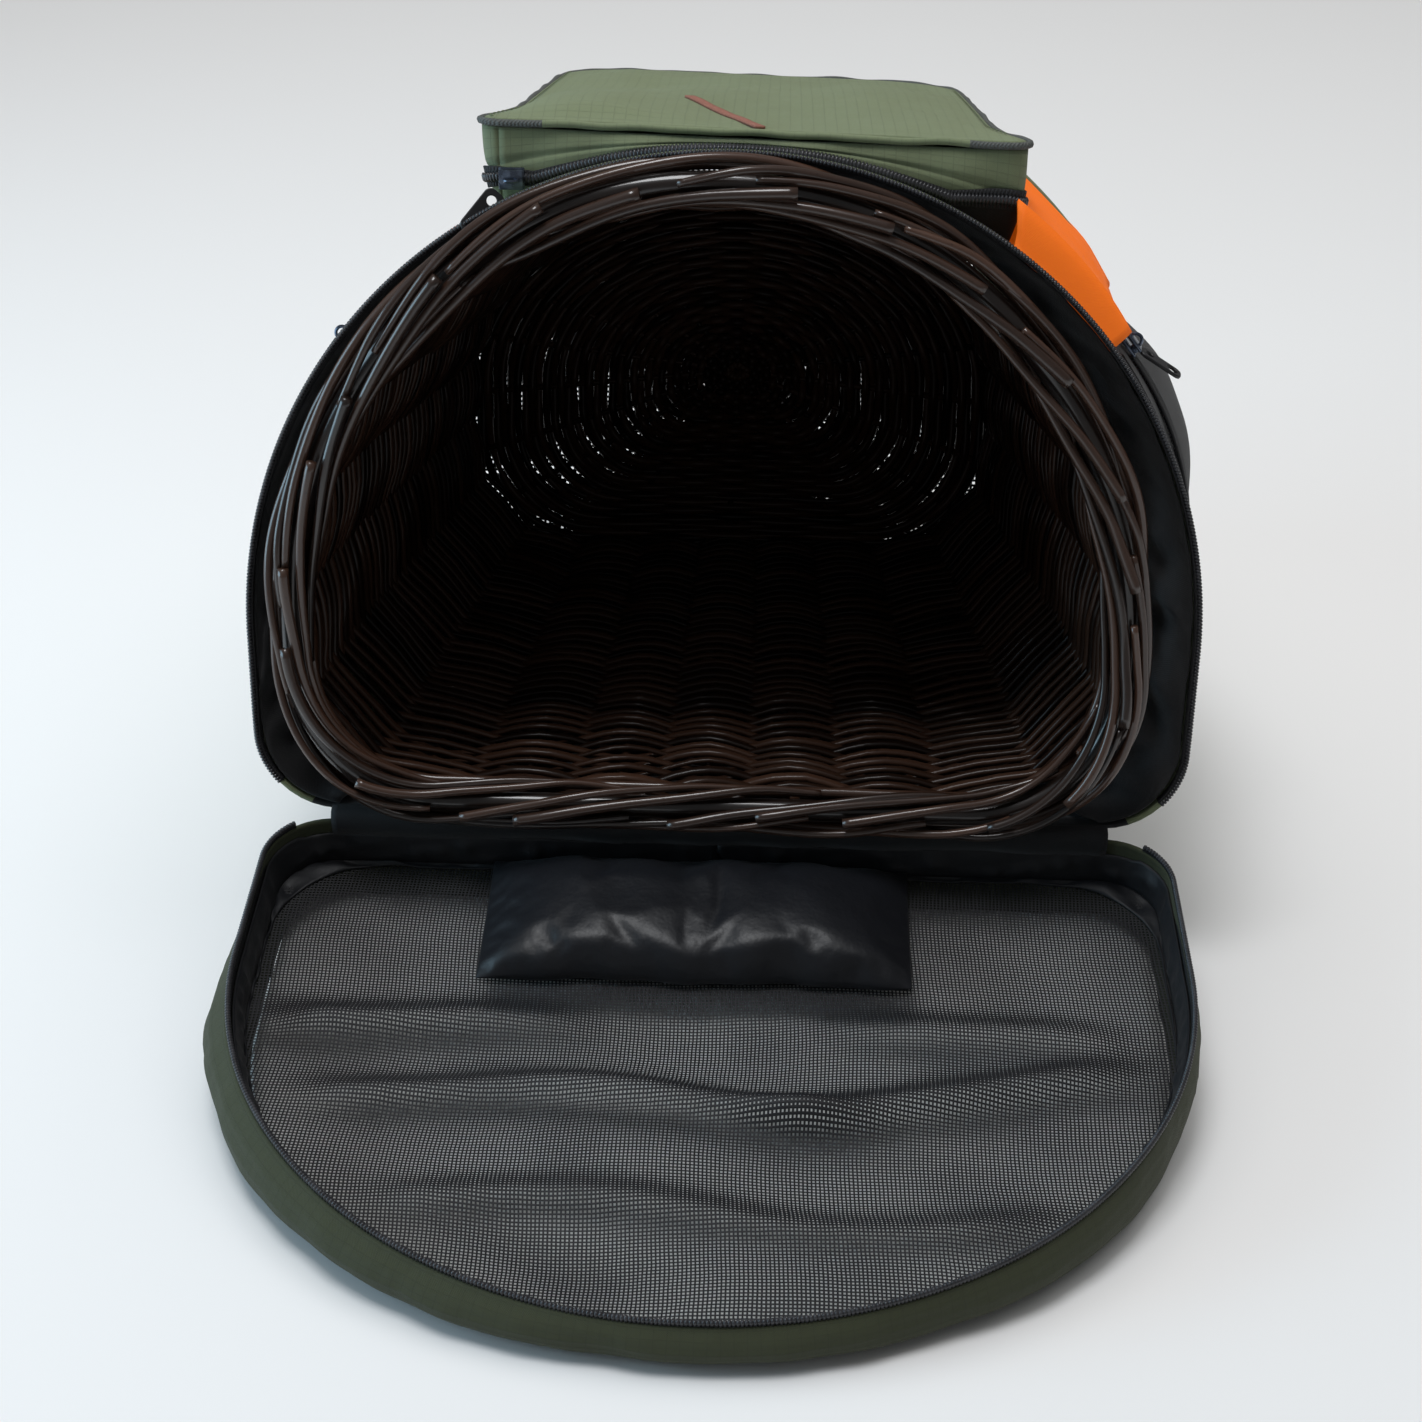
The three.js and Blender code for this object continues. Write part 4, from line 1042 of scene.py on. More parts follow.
class BackpackMainZip(bpy.types.Operator):
    """Makes both halves of the main zip and the cloth hinge between lid and bag"""

    bl_idname = "backpack.main_zip"
    bl_label = "Main Zip"

    def execute(self, context):
        shares = np.linspace(7 / MOUTH_STEPS, 35 / MOUTH_STEPS, 400)
        dip = 3 * (1 - smoothstep(np.minimum(shares - shares[0], shares[-1] - shares), 0, 0.035))
        dip = dip + 0.4 + 0.5 * ripple(shares * ROUND, 0, 41, 40, 120)
        rings = (d_ring(MOUTH, shares, by) for by in (-1.0, 0.0))
        edge, beyond = (in_bag(xyz(ring[:, 0], dip, ring[:, 1])) for ring in rings)
        self.half(context, "main_zip_bag", edge, unit(beyond - edge), unit(DEPTH_WAY))

        shares = np.linspace(6 / LID_STEPS, 30 / LID_STEPS, 400)
        wave = 0.6 * ripple(shares * ROUND, 0, 42, 50, 140)
        rings = (d_ring(LID, shares, by) for by in (-1.0, 0.0))
        edge, beyond = (in_lid(xyz(ring[:, 0], ring[:, 1], wave)) for ring in rings)
        down = unit(in_lid([0, 0, -1]) - in_lid([0, 0, 0]))
        self.half(context, "main_zip_lid", edge, unit(beyond - edge), down)
        self.hinge(context)
        return {"FINISHED"}

    @staticmethod
    def half(context, node, edge, out, deep):
        """Tape that runs back from the edge, and a coil along it. Points in metres."""
        across = np.array([1.4, 2.0, 3.0, 5.0, 8.0, 9.6])[None, :, None] * MM
        work = Workpiece()
        work.grid(edge[:, None] + deep * across - out[:, None] * 0.0006)
        pitch = context.scene.backpack_sizes.tooth_pitch
        work.string(edge + deep * 0.0013, out, pitch, 0.0034, 0.0027, COIL, slot=1)
        zip_piece(context, work, f"{node}_half", node, 0.0011)

    @staticmethod
    def hinge(context):
        across = np.linspace(-181, 181, 121)[:, None]
        profile = ((13, 2.2), (9, 2.6), (5, 2.6), (2, 1.2), (1, -1.5), (1.6, -5), (2.6, -9.6))
        y, z = np.array(profile, float).T
        wave = 0.9 * ripple(across, y * 6, 43, 25, 70)
        points = on_floor(xyz(across, y, HINGE_HEIGHT + z + wave - 0.9))
        work = Workpiece()
        work.grid(points, flip=True)
        black = finish(context, "black_cloth")
        strip = cloth_piece(work, "hinge_cloth", black, points, 0.0018)
        settle(strip, "black_cloth", "hinge_strip")


# Front pocket


def shell_level(x, depth):
    half, widest, top = (np.interp(depth, SHELL[:, 0], SHELL[:, k]) for k in (1, 2, 3))
    return widest + (top - widest) * np.sqrt(np.clip(1 - (x / half) ** 2, 0, 1))


def face_level(x, depth):
    along = (depth - POCKET_NEAR) / (POCKET_FAR - POCKET_NEAR)
    puff = 3 * (1 - ((x - POCKET_X) / POCKET_NEAR_HALF) ** 2) * np.sin(np.pi * np.clip(along, 0, 1))
    return 327 - 0.008 * (depth - POCKET_NEAR) - 0.026 * x + puff


def face_swell(x, depth):
    """How the face stands off its plain level: soft lumps and creases."""
    lump = 7 * np.exp(-(((x + 62) / 52) ** 2) - ((depth - 62) / 44) ** 2)
    lump = lump + 3 * np.exp(-(((x - 60) / 60) ** 2) - ((depth - 130) / 60) ** 2)
    return lump + 1.1 * ripple(x, depth, 51, 50, 120) + 0.2 * ripple(x, depth, 52, 18, 36)


def gusset_point(share, up, by):
    """Points of the pocket's side: up is 0 at the shell and 1 under the piping."""
    head = pocket_ring(share, by)
    low = shell_level(head[..., 0], head[..., 1]) + SEAT
    high = face_level(head[..., 0], head[..., 1]) - PIPING_RADIUS
    foot = pocket_ring(share, by + 3 - 11 * smoothstep(high - low, 16, 40))
    plan = foot + (head - foot) * up[..., None]
    level = np.maximum(lerp(low, high, up), shell_level(plan[..., 0], plan[..., 1]) + SEAT)
    return xyz(plan[..., 0], plan[..., 1], level)


def zip_height(share, across):
    """Where the pocket's zip sits on its side, across from -1 to 1; it hangs 21 mm under the edge."""
    x, depth = np.moveaxis(pocket_ring(share, 0.0), -1, 0)
    room = face_level(x, depth) - PIPING_RADIUS - shell_level(x, depth) - SEAT
    middle = np.maximum(1 - 21 / room, 0.14)
    return middle + across * np.minimum(4.4 / room, 0.13)


class BackpackFrontPocket(bpy.types.Operator):
    """Makes the front pocket: puffed face, gusset, piping, zip and the blank strip on it"""

    bl_idname = "backpack.front_pocket"
    bl_label = "Front Pocket"

    def execute(self, context):
        size, olive = context.scene.backpack_sizes, finish(context, "olive_ripstop")
        self.face(size, olive)
        self.gusset(context, size, olive)
        self.piping(context, size, olive)
        self.zip(context, size)
        self.strip(context)
        return {"FINISHED"}

    @staticmethod
    def face(size, olive):
        f, flat = fan(pocket_ring(np.linspace(0, 1, 181), -1.2), (POCKET_X, 140), 34)
        x, depth = flat[..., 0], flat[..., 1]
        calm = smoothstep(1 - f, 0.0, 0.16)
        points = in_bag(xyz(x, depth, face_level(x, depth) + calm * face_swell(x, depth) + 1.2))
        work = Workpiece()
        work.grid(points, flat * MM, flip=True)
        rests_on, cut = "front_pocket_side", (0.25, 0.275)
        face = cloth_piece(work, "front_pocket_top", olive, points, size.cloth, cut)
        settle(face, "olive_cloth", "front_pocket_face")

    @staticmethod
    def gusset(context, size, olive):
        share, up = np.meshgrid(np.linspace(0, 1, 301), np.linspace(0, 1, 22), indexing="ij")
        soft = (2.2 + 1.1 * ripple(share * 950, up * 25, 53, 26, 80)) * np.sin(np.pi * up)
        seam = -1.1 * np.exp(-(((up - 0.52) / 0.05) ** 2))
        points = in_bag(gusset_point(share, up, soft + seam))
        # painted shade: on the near right, the gusset under the zip takes the black cloth where it lies in
        # shade
        dark = (up < zip_height(share, 0.0)) & (share > 0.1) & (share < 0.36)
        work = Workpiece()
        work.grid(points, flip=True, slot=dark[:-1, :-1].astype(int))
        finishes = [olive, finish(context, "black_cloth")]
        side = cloth_piece(work, "front_pocket_side", finishes, points, size.cloth)
        settle(side, "olive_cloth", "front_pocket_gusset", "front_pocket_base")

    @staticmethod
    def piping(context, size, olive):
        up = np.array([0, 0, 1.0])
        shares = np.arange(300) / 300
        x, depth = pocket_ring(shares, 0.6).T
        level = face_level(x, depth) + 0.35 * ripple(shares * 950, 0, 54, 20, 60)
        covered = (shares > 0.018) & (shares < 0.212)
        slots = np.where(covered, 2, 0)[:, None]
        work = Workpiece()
        work.rod(in_bag(xyz(x, depth, level)), 0.75 * PIPING_RADIUS * MM, up, 8, closed=True, slot=slots)
        x, depth = pocket_ring(shares, -3.4).T
        seam = in_bag(xyz(x, depth, face_level(x, depth) + 2.0))
        for sewn in ((shares > 0.26) & (shares < 0.47), shares > 0.76):
            work.string(seam[sewn], up, size.stitch * 1.35, 0.0007, 0.0007, STITCH, slot=1)
        finishes = [finish(context, "piping"), finish(context, "thread"), olive]
        settle(work.piece("front_pocket_cord", finishes), "grey_piping", "front_pocket_piping")

    @staticmethod
    def zip(context, size):
        share, across = np.meshgrid(np.linspace(-0.012, 0.262, 160), np.linspace(-1, 1, 5), indexing="ij")
        points = in_bag(gusset_point(share, zip_height(share, across), ZIP_OUT))
        work = Workpiece()
        work.grid(points, flip=True)
        middle = points[:, 2]
        out = unit(np.cross(np.gradient(middle, axis=0), points[:, 3] - points[:, 1]))
        work.string(middle + out * 0.0009, out, size.tooth_pitch, 0.0044, 0.0018, COIL, slot=1)
        zip_piece(context, work, "front_pocket_zip_half", "front_pocket_zip", 0.001)

    @staticmethod
    def strip(context):
        along, across = np.meshgrid(np.linspace(-36, 36, 40), np.linspace(-2.4, 2.4, 5), indexing="ij")
        turn = -1.1
        x = -4 + along * math.cos(turn) - across * math.sin(turn)
        depth = 54 + along * math.sin(turn) + across * math.cos(turn)
        level = face_level(x, depth) + face_swell(x, depth) + 1.7
        work = Workpiece()
        work.grid(in_bag(xyz(x, depth, level)), np.stack([across, along], -1) * MM)
        strip = work.piece("front_pocket_strip", finish(context, "patch"))
        solidify(strip, 0.0012, 0.0)
        settle(strip, "brown_patch", "front_pocket_patch")


# Sides: name, mirror and how full the side's pocket is

SIDES = (("right", 1, 1.0), ("left", -1, 0.08))
SIDE_PANEL = {"from": 0.97, "to": 0.68, "near": 11, "far": 320, "rise": 40, "ridge": 96, "upright": 1}
SIDE_POCKET = {"from": 0.645, "to": -0.05, "near": 22, "far": 300, "rise": 26, "ridge": 120, "upright": 0}


def arch_point(angle, depth, off):
    half, widest, top = (np.interp(depth, SHELL[:, 0], SHELL[:, k]) for k in (1, 2, 3))
    rise = top - widest
    out = unit(xyz(np.cos(angle) / half, 0, np.sin(angle) / rise))
    point = xyz(half * np.cos(angle), depth, widest + rise * np.sin(angle))
    return point + out * np.asarray(off)[..., None], out


def side_point(span, fill, mirror, u, depth, up):
    """Point of a side piece, u of the way down its span and up from the shell."""
    u, depth = np.broadcast_arrays(np.asarray(u, float), np.asarray(depth, float))
    up = np.broadcast_to(up, u.shape)
    along = np.where(
        depth < span["ridge"],
        smoothstep(depth, span["near"], span["ridge"]),
        1 - smoothstep(depth, span["ridge"], span["far"]),
    )
    angle = lerp(span["from"], span["to"], u)
    point, out = arch_point(angle, depth, SEAT + up)
    if span["upright"]:
        along = 0.42 * smoothstep(depth, span["near"], span["near"] + 6) + 0.58 * along
    turn = np.maximum(u, 1 - span["upright"])[..., None]
    lift = unit(np.array([0, 0, 1.0]) * (1 - turn) + out * turn)
    swell = 1 - 0.55 * u if span["upright"] else np.sin(np.pi * lerp(0.25, 0.94, u))
    point = point + lift * (span["rise"] * fill * along * swell)[..., None]
    point[..., 0] *= mirror
    return point


class BackpackSides(bpy.types.Operator):
    """Makes both sides: orange panel, its binding, dark pocket and zip"""

    bl_idname = "backpack.sides"
    bl_label = "Sides"

    def execute(self, context):
        for side, mirror, fill in SIDES:
            self.panel(context, side, mirror, fill)
            self.binding(context, side, mirror, fill)
            self.pocket(context, side, mirror, fill)
            self.zip(context, side, mirror, fill)
        return {"FINISHED"}

    @staticmethod
    def panel(context, side, mirror, fill):
        far = SIDE_PANEL["far"]
        start = np.array([9.5, 10.5, 11.5, 13, 15, 17, 19]) if fill > 0.5 else np.array([44, 46])
        rows = np.concatenate([start, np.linspace(start[-1] + 4, far, 56)])
        depth, u = np.meshgrid(rows, np.linspace(0, 1, 18), indexing="ij")
        calm = np.sin(np.pi * np.clip((depth - 15) / (far - 15), 0, 1))
        slack = fill * 1.6 * ripple(depth, u * 60, 61, 20, 60) * calm
        slack = slack - 4.5 * (1 - smoothstep(depth, 9.5, 13))
        slack = slack + fill * 9 * np.exp(-(((depth - 150) / 42) ** 2)) * smoothstep(u, 0.3, 0.8)
        points = in_bag(side_point(SIDE_PANEL, fill, mirror, u, depth, SIDE_CLOTH_OUT + slack))
        work = Workpiece()
        work.grid(points, flip=mirror > 0)
        name, orange = f"side_panel_{side}_cloth", finish(context, "orange_cloth")
        ply = context.scene.backpack_sizes.cloth
        panel = cloth_piece(work, name, orange, points, ply)
        settle(panel, "orange_cloth", f"side_panel_{side}")

    @staticmethod
    def binding(context, side, mirror, fill):
        u = np.linspace(0.02, 0.98, 40)
        path = side_point(SIDE_PANEL, fill, mirror, u, SIDE_PANEL["ridge"], 3.9 - 0.9 * fill)
        work = Workpiece()
        work.rod(in_bag(path), 1.7 * MM, np.array([0, 1.0, 0]), 8)
        binding = work.piece(f"side_binding_{side}_tape", finish(context, "olive_ripstop"), outward=True)
        settle(binding, "olive_cloth", f"side_binding_{side}")

    @staticmethod
    def pocket(context, side, mirror, fill):
        near, far = SIDE_POCKET["near"], SIDE_POCKET["far"]
        depth, u = np.meshgrid(np.linspace(near, far, 60), np.linspace(0, 1, 60), indexing="ij")
        slack = (0.3 + fill) * 1.5 * ripple(depth, u * 170, 62, 30, 90)
        slack = slack * np.sin(np.pi * np.clip((depth - near) / (far - near), 0, 1)) * np.sin(np.pi * u)
        points = in_bag(side_point(SIDE_POCKET, fill, mirror, u, depth, SIDE_CLOTH_OUT + slack))
        work = Workpiece()
        work.grid(points, flip=mirror > 0)
        name, black = f"side_pocket_{side}_cloth", finish(context, "black_cloth")
        ply = context.scene.backpack_sizes.cloth
        pocket = cloth_piece(work, name, black, points, ply)
        settle(pocket, "black_cloth", f"side_pocket_{side}")

    @staticmethod
    def zip(context, side, mirror, fill):
        u = np.linspace(0.08, 0.9, 120)[:, None]
        depth = 62 + np.linspace(0, 8, 6)[None]
        points = in_bag(side_point(SIDE_POCKET, fill, mirror, u, depth, 4.2))
        work = Workpiece()
        work.grid(points, flip=mirror < 0)
        middle = (points[:, 2] + points[:, 3]) / 2
        out = mirror * unit(np.cross(points[:, 5] - points[:, 0], np.gradient(middle, axis=0)))
        pitch = context.scene.backpack_sizes.tooth_pitch
        work.string(middle + out * 0.0008, out, pitch, 0.0040, 0.0018, COIL, slot=1)
        zip_piece(context, work, f"side_zip_{side}_tape", f"side_zip_{side}", 0.001)


# Lid


def lid_depth(along):
    return np.minimum(LID_DEPTH, (HINGE_HEIGHT - along * math.sin(SLOPE)) / math.cos(SLOPE))


def net_level(along):
    return -0.55 * lid_depth(along)


# Folds of the net: from and to across, where along the lid at each end, and height

NET_FOLDS = (
    (-205, -70, 98, 103, 7.5),
    (-165, 60, 142, 152, 8.0),
    (20, 180, 152, 128, 7.5),
    (-120, 150, 206, 214, 5.0),
    (60, 170, 92, 108, 6.0),
)


class BackpackLid(bpy.types.Operator):
    """Makes the lid: cloth wall, panel, dark lining and net"""

    bl_idname = "backpack.lid"
    bl_label = "Lid"

    def execute(self, context):
        ply = context.scene.backpack_sizes.cloth
        self.wall(context, ply)
        self.panel(context, ply)
        self.lining(context)
        self.net(context)
        return {"FINISHED"}

    @staticmethod
    def wall(context, ply):
        shares, down = np.linspace(0, 1, 361), np.linspace(1, 0, 26)
        rim = d_ring(LID, shares)
        grown = smoothstep(rim[:, 1], 10, 120)[:, None]
        swell = np.interp(down, [0, 0.2, 0.4, 0.6, 0.8, 0.93, 1], [0, 0.68, 1, 1, 0.8, 0.45, 0])
        way = shares[:, None] * LID_ROUND
        pull = 0.5 * ripple(way, down * 30, 71, 26, 60) + 0.9 * ripple(way, down * 30, 72, 70, 180)
        sag = 0.7 * np.sin(np.pi * np.clip(down * 2.2, 0, 1)) * ripple(way, down * 8, 73, 8, 20)
        bulge = swell * grown * (8 - 4 * rim[:, :1] / LID[0])
        bulge = bulge + np.sin(np.pi * down) * grown * (pull + 0.5 * sag)
        bulge = bulge - 4 * smoothstep(down, 0.75, 1.0) - 0.3
        columns = []
        for k, share in enumerate(down):
            x, along = d_ring(LID, shares, bulge[:, k]).T
            columns.append(xyz(x, along, lerp(-2.6, 0.6 - lid_depth(along), share)))
        points = in_lid(np.stack(columns, 1))
        work = Workpiece()
        work.grid(points)
        # painted shade: the wall takes the darker copy of the olive ripstop
        olive = finish(context, "lid_ripstop")
        wall = cloth_piece(work, "lid_side_cloth", olive, points, ply)
        settle(wall, "olive_cloth", "lid_wall")

    @staticmethod
    def panel(context, ply):
        f, flat = fan(d_ring(LID, np.linspace(0, 1, 181), -6.6), LID_MIDDLE, 30)
        x, along = flat[..., 0], flat[..., 1]
        wave = 0.9 * (1 + ripple(x, along, 74, 60, 150)) * smoothstep(1 - f, 0, 0.2)
        points = in_lid(xyz(x, along, 1.8 + wave - lid_depth(along)))
        work = Workpiece()
        work.grid(points, flat * MM, flip=True)
        finishes = [finish(context, "olive_ripstop"), finish(context, "lid_inside")]
        name, rests_on, cut = "lid_floor_cloth", "lid_side_cloth", (0.41, 0.275)
        panel = cloth_piece(work, name, finishes, points, ply, cut, inner=1)
        settle(panel, "olive_cloth", "lid_panel")

    @staticmethod
    def lining(context):
        shares = np.linspace(0, 1, 361)
        way = shares[:, None] * LID_ROUND
        t = np.linspace(0, 1, 12)
        outer = d_ring(LID, shares, -2.8)
        top = np.where(outer[:, 1] > 6, -8.0, -9.6)
        low = net_level(outer[:, 1]) + 1.5
        fold = 1.3 * ripple(way, t * 20, 75, 10, 30, 9) * np.sin(np.pi * t)
        columns = []
        for k, share in enumerate(t):
            by = -2.8 - 2.2 * np.sin(np.pi * share * 0.5) + np.minimum(fold[:, k], 0.0)
            x, along = d_ring(LID, shares, by).T
            columns.append(xyz(x, along, lerp(top, low, share)))
        hung = in_lid(np.stack(columns, 1))
        outer, inner = d_ring(LID, shares, -4.6), d_ring(NET_EDGE, shares)
        s = np.linspace(0, 1, 10)
        flat = outer[:, None] + (inner - outer)[:, None] * s[:, None]
        crease = ripple(way, flat[..., 1], 76, 16, 46, 9) * np.sin(np.pi * s)
        laid = in_lid(xyz(flat[..., 0], flat[..., 1], net_level(flat[..., 1]) + 1.7 + 1.1 * crease))
        work = Workpiece()
        work.grid(hung)
        work.grid(laid)
        navy, points = finish(context, "navy_lining"), np.concatenate([hung, laid], 1)
        lining = cloth_piece(work, "lid_lining_cloth", navy, points, 0.0008)
        settle(lining, "black_cloth", "lid_lining")

    @staticmethod
    def net(context):
        f, flat = fan(d_ring(LID, np.linspace(0, 1, 289), -4.0), LID_MIDDLE, 64)
        x, along = flat[..., 0], flat[..., 1]
        past_pouch = smoothstep(along - 82, 0, 30) * smoothstep(1 - f, 0, 0.2)
        wave = 2.2 * np.sin(x / 47 + along / 21 + 0.4) + 1.6 * np.sin(-x / 31 + along / 34 + 1.9)
        wave = wave + 1.1 * np.sin(x / 19 - along / 43 + 0.9)
        # painted shade: darker blotches over the net, carried to its threads as the strand value
        dark = 0.12 * np.clip(ripple(x, along, 77, 40, 110), 0, 1)
        for left, right, start, end, high in NET_FOLDS:
            crest = lerp(start, end, (x - left) / (right - left)) + 5 * np.sin(x / 38)
            there = high * smoothstep(x, left - 30, left + 30) * smoothstep(right - x, -30, 30)
            wave = wave + there * np.exp(-(((along - crest) / 9) ** 2))
            # painted shade: a dark band along one flank of each fold
            dark = dark + 0.11 * there * np.exp(-(((along - crest + 5) / 6.5) ** 2))
        points = in_lid(xyz(x, along, net_level(along) + past_pouch * wave + 0.5))
        drawn = np.stack([x + 1.5 * np.sin(along / 23), along + 2.0 * np.sin(x / 41)], -1)
        work = Workpiece()
        work.grid(points, drawn * MM, np.clip(dark, 0, 1).ravel())
        black, rests_on, cut = finish(context, "lid_net"), "lid_lining_cloth", (0.415, 0.28)
        net = cloth_piece(work, "lid_net_cloth", black, points, cut=cut)
        settle(net, "black_net", "lid_mesh")


class BackpackPouch(bpy.types.Operator):
    """Makes the satin pouch on the lid's net"""

    bl_idname = "backpack.pouch"
    bl_label = "Pouch"

    def execute(self, context):
        a, b = np.linspace(0, 1, 70)[:, None], np.linspace(0, 1, 30)[None]
        front = 80 + 0.9 * np.sin(5 * np.pi * a) + 0.5 * np.sin(13 * np.pi * a + 1)
        x, along = np.broadcast_arrays(lerp(-106, 90, a), lerp(2, front, b))
        rise = (1 - np.abs(2 * a - 1) ** 6) * (1 - np.abs(2 * b - 1) ** np.where(b > 0.5, 9, 5))
        seam = net_level(along) + 3.5
        top = seam + rise * (17 + 0.9 * ripple(x, along, 81, 30, 80))
        flat = np.stack([x, along], -1) * MM
        work = Workpiece()
        work.grid(in_lid(xyz(x, along, top)), flat)
        work.grid(in_lid(xyz(x, along, seam - 1.5 * rise)), flat, flip=True)
        pouch = work.piece("lid_pouch_cloth", finish(context, "satin"))
        edge = in_lid(xyz(x, along, seam))
        edge = np.concatenate([edge[0], edge[-1], edge[:, 0], edge[:, -1]])
        held = [
            i
            for i, vertex in enumerate(pouch.data.vertices)
            if vertex.normal.z < -0.3 or np.abs(edge - np.array(vertex.co)).sum(1).min() < 1e-5
        ]
        inflate(context, pouch, 4.0, 0.015, 0.004, held)
        subdivide(pouch)
        settle(pouch, "black_satin", "lid_pouch")
        return {"FINISHED"}


# Sliders, pull tabs and harness


def moulded(name, bm, origin, axes, finishes):
    """A small hard part, modelled in mm on its own axes and set into the bag."""
    mesh = bpy.data.meshes.new(name)
    bm.to_mesh(mesh)
    bm.free()
    points = np.empty(3 * len(mesh.vertices))
    mesh.vertices.foreach_get("co", points)
    mesh.vertices.foreach_set("co", in_bag(origin + points.reshape(-1, 3) @ axes).ravel())
    mesh.polygons.foreach_set("use_smooth", np.ones(len(mesh.polygons), bool))
    mesh.set_sharp_from_angle(angle=math.radians(40))
    mesh.materials.append(finishes)
    return put(name, mesh)


def facing(along, out):
    """Axes of a small part: y runs along, z faces out."""
    y = unit(np.asarray(along, float))
    x = unit(np.cross(y, out))
    return np.stack([x, y, np.cross(x, y)])


class BackpackSliders(bpy.types.Operator):
    """Makes the zip sliders and their pull tabs"""

    bl_idname = "backpack.sliders"
    bl_label = "Sliders"

    # Blocks of a slider: size and middle, in mm
    BLOCKS = (((9, 11, 1.6), (0, 0, 0.8)), ((8.4, 10.4, 1.5), (0, 0, 4.2)), ((2.6, 4, 3), (0, 3.2, 2.4)))
    # Holes of a pull tab: place along it and radius, in mm
    HOLES = ((4.6, 2.2), (17.0, 3.0))

    def execute(self, context):
        share, along = np.array(0.006), np.array([1.0, 0, 0])
        low, high = (gusset_point(share, zip_height(share, across), ZIP_OUT) for across in (-1.0, 1.0))
        out = unit(np.cross(along, high - low))
        spot = lerp(low, high, 0.5) + out * SEAT
        self.slider(context, "front_pocket", spot, along, out)
        start = spot + out * 5.9 + np.array([-5.5, 0, -5.1])
        self.tab(context, "front_pocket", start, np.array([-0.66, -0.4, -0.8]), out)
        for side, mirror, fill in SIDES:
            spot, lower, deeper = (
                side_point(SIDE_POCKET, fill, mirror, u, depth, SIDE_SLIDER_OUT)
                for u, depth in ((0.05, 66), (0.1, 66), (0.05, 74))
            )
            down = unit(lower - spot)
            out = mirror * unit(np.cross(down, deeper - spot))
            self.slider(context, f"side_{side}", spot, down, out)
            start = spot + out * 2.5 + down * 5.8
            self.tab(context, f"side_{side}", start, down + out * 0.35 * fill, out)
        return {"FINISHED"}

    def slider(self, context, name, spot, along, out):
        bm = bmesh.new()
        for size, place in self.BLOCKS:
            block = Matrix.LocRotScale(Vector(place), None, Vector(size))
            bmesh.ops.create_cube(bm, size=1, matrix=block)
        edges = bm.edges[:]
        bmesh.ops.bevel(bm, geom=edges, offset=0.55, affect="EDGES", segments=2, profile=0.5, material=-1)
        bail = Matrix.Translation((0, -3, 4.8))
        ring = bmesh.ops.create_circle(bm, segments=8, radius=0.8, matrix=bail)["verts"]
        ring = ring + list(dict.fromkeys(edge for vertex in ring for edge in vertex.link_edges))
        bmesh.ops.spin(bm, geom=ring, cent=(0, 0, 4.8), axis=(1, 0, 0), angle=-math.pi, steps=10)
        bmesh.ops.holes_fill(bm, edges=[edge for edge in bm.edges if edge.is_boundary], sides=8)
        bmesh.ops.recalc_face_normals(bm, faces=bm.faces)
        metal = finish(context, "slider_metal")
        slider = moulded(f"{name}_slider_body", bm, spot, facing(along, out), metal)
        settle(slider, "zip_metal", f"{name}_slider")

    def tab(self, context, name, start, along, out):
        long, wide, thick, corner = 22.0, 9.6, 1.6, 3.2
        sheet = Matrix.LocRotScale(Vector((0, long / 2, thick / 2)), None, Vector((wide, long, 1)))
        bm = bmesh.new()
        bmesh.ops.create_grid(bm, x_segments=1, y_segments=1, size=0.5, matrix=sheet)
        corners = bm.verts[:]
        bmesh.ops.bevel(
            bm, geom=corners, offset=corner, affect="VERTICES", segments=6, profile=0.5, material=-1
        )
        bmesh.ops.delete(bm, geom=bm.faces[:], context="FACES_ONLY")
        for centre, hole in self.HOLES:
            place = Matrix.Translation((0, centre, thick / 2))
            bmesh.ops.create_circle(bm, segments=24, radius=hole, matrix=place)
        bmesh.ops.triangle_fill(bm, use_beauty=True, edges=bm.edges[:])
        bmesh.ops.solidify(bm, geom=bm.faces[:], thickness=thick)
        bmesh.ops.recalc_face_normals(bm, faces=bm.faces)
        tab = moulded(f"{name}_pull_tab", bm, start, facing(along, out), finish(context, "plastic"))
        bevel = tab.modifiers.new("Soft edges", "BEVEL")
        bevel.width, bevel.segments = 0.0004, 2
        bevel.limit_method, bevel.angle_limit = "ANGLE", math.radians(50)
        settle(tab, "black_plastic", f"{name}_pull")


def under_back(depth, below):
    """Lower face of the padded back at a depth in the bag, as (y from the hinge line, z)."""
    level = 2 - HINGE_LEVEL - below
    y = depth * math.cos(TILT) + level * math.sin(TILT)
    return np.array([y, HINGE_HEIGHT + level * math.cos(TILT) - depth * math.sin(TILT)])


def flat_band(work, points, wide, thick, crown=0.35, columns=28):
    """A flat strap with round edges along points in mm from the hinge line and the floor."""
    way = unit(np.gradient(points, axis=0))
    up = unit(xyz(0, -way[:, 2], way[:, 1]))
    turn = np.linspace(0, 2 * np.pi, columns + 1)[None, :, None]
    across = np.sign(np.cos(turn)) * np.abs(np.cos(turn)) ** 0.45 * wide / 2
    lift = np.sign(np.sin(turn)) * np.abs(np.sin(turn)) ** crown * thick / 2
    rows = points[:, None] + np.array([1.0, 0, 0]) * across + up[:, None] * lift
    work.grid(on_floor(capped(rows, points[0], points[-1])), flip=True)


def capped(rows, first, last):
    """Rows of points with both ends drawn together to a point."""
    ends = [np.broadcast_to(point, rows[:1].shape) for point in (first, last)]
    return np.concatenate([ends[0], rows, ends[1]])


